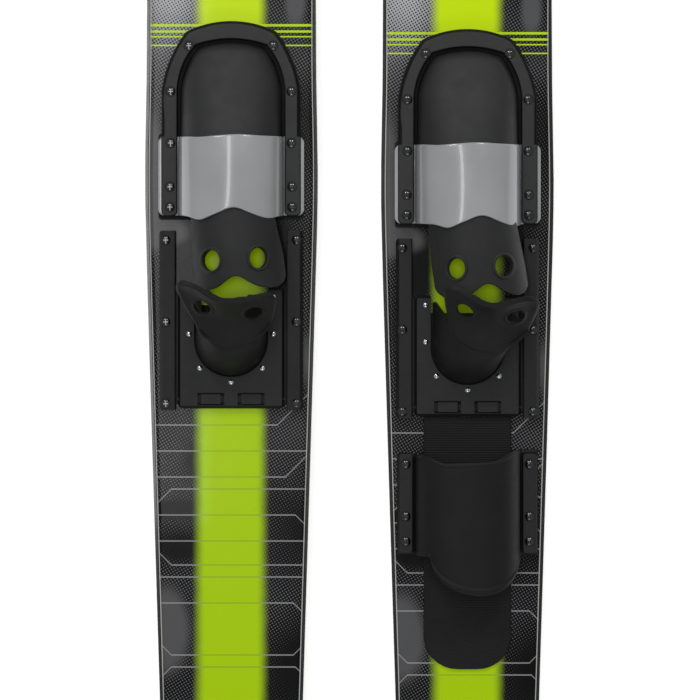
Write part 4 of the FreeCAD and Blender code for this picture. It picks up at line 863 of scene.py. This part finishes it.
def heel_rubber(side):
    """The cup goes from its foot's U to the crease, upright first and then leaning forward. The collar goes
    from the crease to the rim, shallow first and then steep. Laid flat it is a rectangle with two round
    corners, and its edge drops in a narrow strip."""
    crease = flowing(np.array([(*key, CREASE_HEIGHT) for key in CREASE_LINE[side]]), 300)
    rim = flowing(np.array(RIM_LINE[side], float), 300)
    across = np.linspace(-1, 1, HEEL_COLUMNS)
    foot = cup_foot(CUP_HALF, CUP_BACK, CUP_FRONT, CUP_FOOT_HEIGHT, 120)
    rise = np.linspace(0, 1, 30)[:, None] * np.ones(HEEL_COLUMNS)
    upright, level = turned(rise, 0.3 + 0.7 * np.abs(across) ** 3)
    half_way = (across + 1) / 2
    cup = between(place_along(foot, half_way)[None], place_along(crease, half_way)[None], level, upright)
    cup = np.concatenate([cup[:1] - [0, 0, 6.8], cup[:1] - [0, 0, 3.4], cup])

    near_rim = COLLAR_RISE - np.array([2.4, 1.9, 1.5, 1.1, 0.7, 0.35, 0.12, 0.0])
    up = COLLAR_RISE * np.concatenate([[0.004, 0.012], np.linspace(0.025, 0.94, 36)])
    up = np.concatenate([up, near_rim])[:, None]
    over = np.clip(up - (COLLAR_RISE - COLLAR_CORNER), 0, None)
    flat_x = across * (COLLAR_REACH - COLLAR_CORNER + np.sqrt(COLLAR_CORNER ** 2 - over ** 2))
    share = (flat_x / COLLAR_REACH + 1) / 2
    level, upright = turned(up / COLLAR_RISE * np.ones(HEEL_COLUMNS), 0.35 + 0.6 * np.abs(across) ** 4)
    collar = between(place_along(crease, share), place_along(rim, share), level, upright)
    beside = np.clip(np.abs(flat_x) - (COLLAR_REACH - COLLAR_CORNER), 0, None)
    to_edge = COLLAR_CORNER - np.hypot(beside, over)
    at_rim = over / np.maximum(over + beside, 0.001)
    width, drop = (a * at_rim + b * (1 - at_rim) for a, b in (EDGE_WIDTH, EDGE_DROP))

    wall = np.concatenate([cup, collar])
    out = np.full(wall.shape[:2], -0.6)
    out[len(cup) - 3:len(cup)] -= 0.7 * (1 - across ** 4)
    out[len(cup) + 1:] = 1.1 - 1.7 * across ** 6
    out[len(cup):] -= drop * np.clip(1 - to_edge / width, 0, 1)
    facing = normals(wall)
    grid = wall + facing * out[..., None]

    row = len(cup) + int(np.argmin(np.abs(up - HOLE_SHARE[1] * COLLAR_RISE)))
    middle = HEEL_COLUMNS // 2
    holes = [(grid[row, column], facing[row, column], HOLE_RADIUS)
             for column in (int(middle * (1 - HOLE_SHARE[0])), int(middle * (1 + HOLE_SHARE[0])))]
    points, faces = pierced(grid, holes, 1.5)
    made = make_piece(side + "_heel_rubber_skin", row_place(points, side), faces, shaded_rear_rubber,
                      side + "_heel", [side + "_heel_rubber"])
    thicken(made, HEEL_WALL, even_wall=False)
    soften(made)
    return made


def heel_sole(side):
    """The floor: the section goes from the middle outwards, and all round the cup's U."""
    edge = cup_foot(SOLE_HALF, CUP_BACK - SOLE_HALF + CUP_HALF, SOLE_FRONT, 0.0, 61)
    middle, section = np.array(SOLE_MIDDLE), np.array(SOLE_SECTION)
    grid = middle + (edge - middle)[:, None] * section[None, :, :1]
    grid[..., 2] += section[:, 1]
    faces = outward(grid, grid_faces(*grid.shape[:2], closed=(True, True)))
    return make_piece(side + "_heel_sole", row_place(grid, side), faces, shaded_rear_rubber, side + "_heel")


def carriage_shade_strip(side):
    """The painted shade strip: a flat dark section with rounded edges, carried across."""
    section = np.array(SHADE_STRIP_SECTION)
    across = np.linspace(-SHADE_STRIP_HALF, SHADE_STRIP_HALF, 25)[:, None]
    shape = len(across), len(section)
    grid = np.stack([np.broadcast_to(line, shape) for line in (across, *section.T)], -1)
    faces = outward(grid, grid_faces(*shape, closed=(False, True))).tolist() + end_caps(*shape)
    return make_piece(side + "_carriage_shade_strip", row_place(grid, side), faces, shaded_rear_rubber, side + "_heel")


for side in SKIS:
    heel_rubber(side)
    heel_sole(side)
    carriage_shade_strip(side)

# Rear toe strap: a sheet of the same rubber arched between two bars, hollowed in front and with a
# round tongue behind. A bead stands along its free edges. The screws clamp it under the bars. The
# hollow goes as 3t^2 - 2t^3 to its middle, and the tongue as the root of 1 - t^2.3 from its own.
STRAP_HALF_WIDTH = 52.5
STRAP_HEIGHT = 47.0
STRAP_FOOT = 70.5
STRAP_FRONT = -179.4
STRAP_REAR = -282.6
STRAP_ROWS = 90
STRAP_WALL = 3.0

y = np.linspace(STRAP_REAR, STRAP_FRONT, STRAP_ROWS)
arches = arch_lines(y, np.full(STRAP_ROWS, STRAP_HALF_WIDTH), np.full(STRAP_ROWS, STRAP_HEIGHT), 3.3)
left = flat_foot(y, np.linspace(STRAP_FOOT, STRAP_HALF_WIDTH + 0.5, 14), 3.1)
grid = even(np.concatenate([left, arches[:, 3:-3], left[:, ::-1] * np.array([-1, 1, 1])], 1), 131)
x, share = grid[..., 0], (grid[..., 1] - STRAP_REAR) / (STRAP_FRONT - STRAP_REAR)
into = np.clip((47.0 - np.abs(x)) / 25.0, 0, 1)
hollow = 0.04 * x - 9.5 * into ** 2 * (3 - 2 * into)
skew = np.clip((x - 5.0 - 8.0 * (1 - np.abs(x / 60))) / 46.0, -1, 1)
tongue = -38.0 * np.sqrt(1 - np.abs(skew) ** 2.3)
grid[..., 1] += hollow * share ** 1.5 + tongue * (1 - share) ** 1.5
row = np.arange(STRAP_ROWS)
to_edge = np.minimum(row, row[::-1]) * (STRAP_FRONT - STRAP_REAR) / STRAP_ROWS
bead = 0.9 * np.exp(-((to_edge - 3.2) / 1.2) ** 2) - 0.5 * np.exp(-((to_edge - 5.2) / 0.9) ** 2)
grid += normals(grid) * bead[:, None, None]
strap = make_piece("rear_toe_strap_skin", row_place(grid, "right"), grid_faces(*grid.shape[:2]),
                   shaded_rear_rubber, "right_ski", ["right_rear_toe_strap"])
thicken(strap, STRAP_WALL)
soften(strap)

# Rear foot pad: a thin rubber mat glued to the deck, with fine ribs across it for grip. It starts
# right behind the heel carriage, and its rear corners are round.
PAD_HALF_WIDTH = 43.8
PAD_FRONT = -144.5
PAD_REAR = -397.0
PAD_END_RADIUS = 34.0
RIB_PITCH = 2.4
RIB_DEPTH = 0.45
# The pad's section from side to side: place as a share of its half width, height, and share of the ribs
PAD_SECTION = [(-1, 0.1, 0), (-1, 2.1, 0), (-0.985, 2.7, 0.2), (-0.955, 2.9, 1), (-0.9, 3, 1),
               (-0.6, 3, 1), (-0.3, 3, 1), (0, 3, 1), (0.3, 3, 1), (0.6, 3, 1), (0.9, 3, 1),
               (0.955, 2.9, 1), (0.985, 2.7, 0.2), (1, 2.1, 0), (1, 0.1, 0)]

ribbed, inputs, place = finish("ribbed_pad", paint(20, 20, 21), 0.62, Specular_IOR_Level=0.2)
place.noise(30.0, 4.0).mix(paint(16, 16, 17), paint(25, 25, 26)).feeds(inputs["Base Color"])
grained(inputs, place, 1800.0, 0.4)
ribs = int((PAD_FRONT - PAD_REAR) / RIB_PITCH)
y = np.linspace(PAD_REAR, PAD_FRONT, ribs * 4 + 1)
into_end = np.clip((PAD_REAR + PAD_END_RADIUS - y) / PAD_END_RADIUS, 0, 1)
half = PAD_HALF_WIDTH - PAD_END_RADIUS * (1 - np.sqrt(1 - into_end ** 2))
across, height, ribbing = np.array(PAD_SECTION, float).T
groove = -RIB_DEPTH * (0.5 + 0.5 * np.cos((y - PAD_REAR) / RIB_PITCH * 2 * np.pi))
grid = np.stack([half[:, None] * across, np.repeat(y[:, None], len(across), 1),
                 height + groove[:, None] * ribbing], -1)
make_piece("rear_foot_pad_skin", row_place(grid, "right"), grid_faces(*grid.shape[:2]), ribbed,
           "right_ski", ["right_rear_foot_pad"])
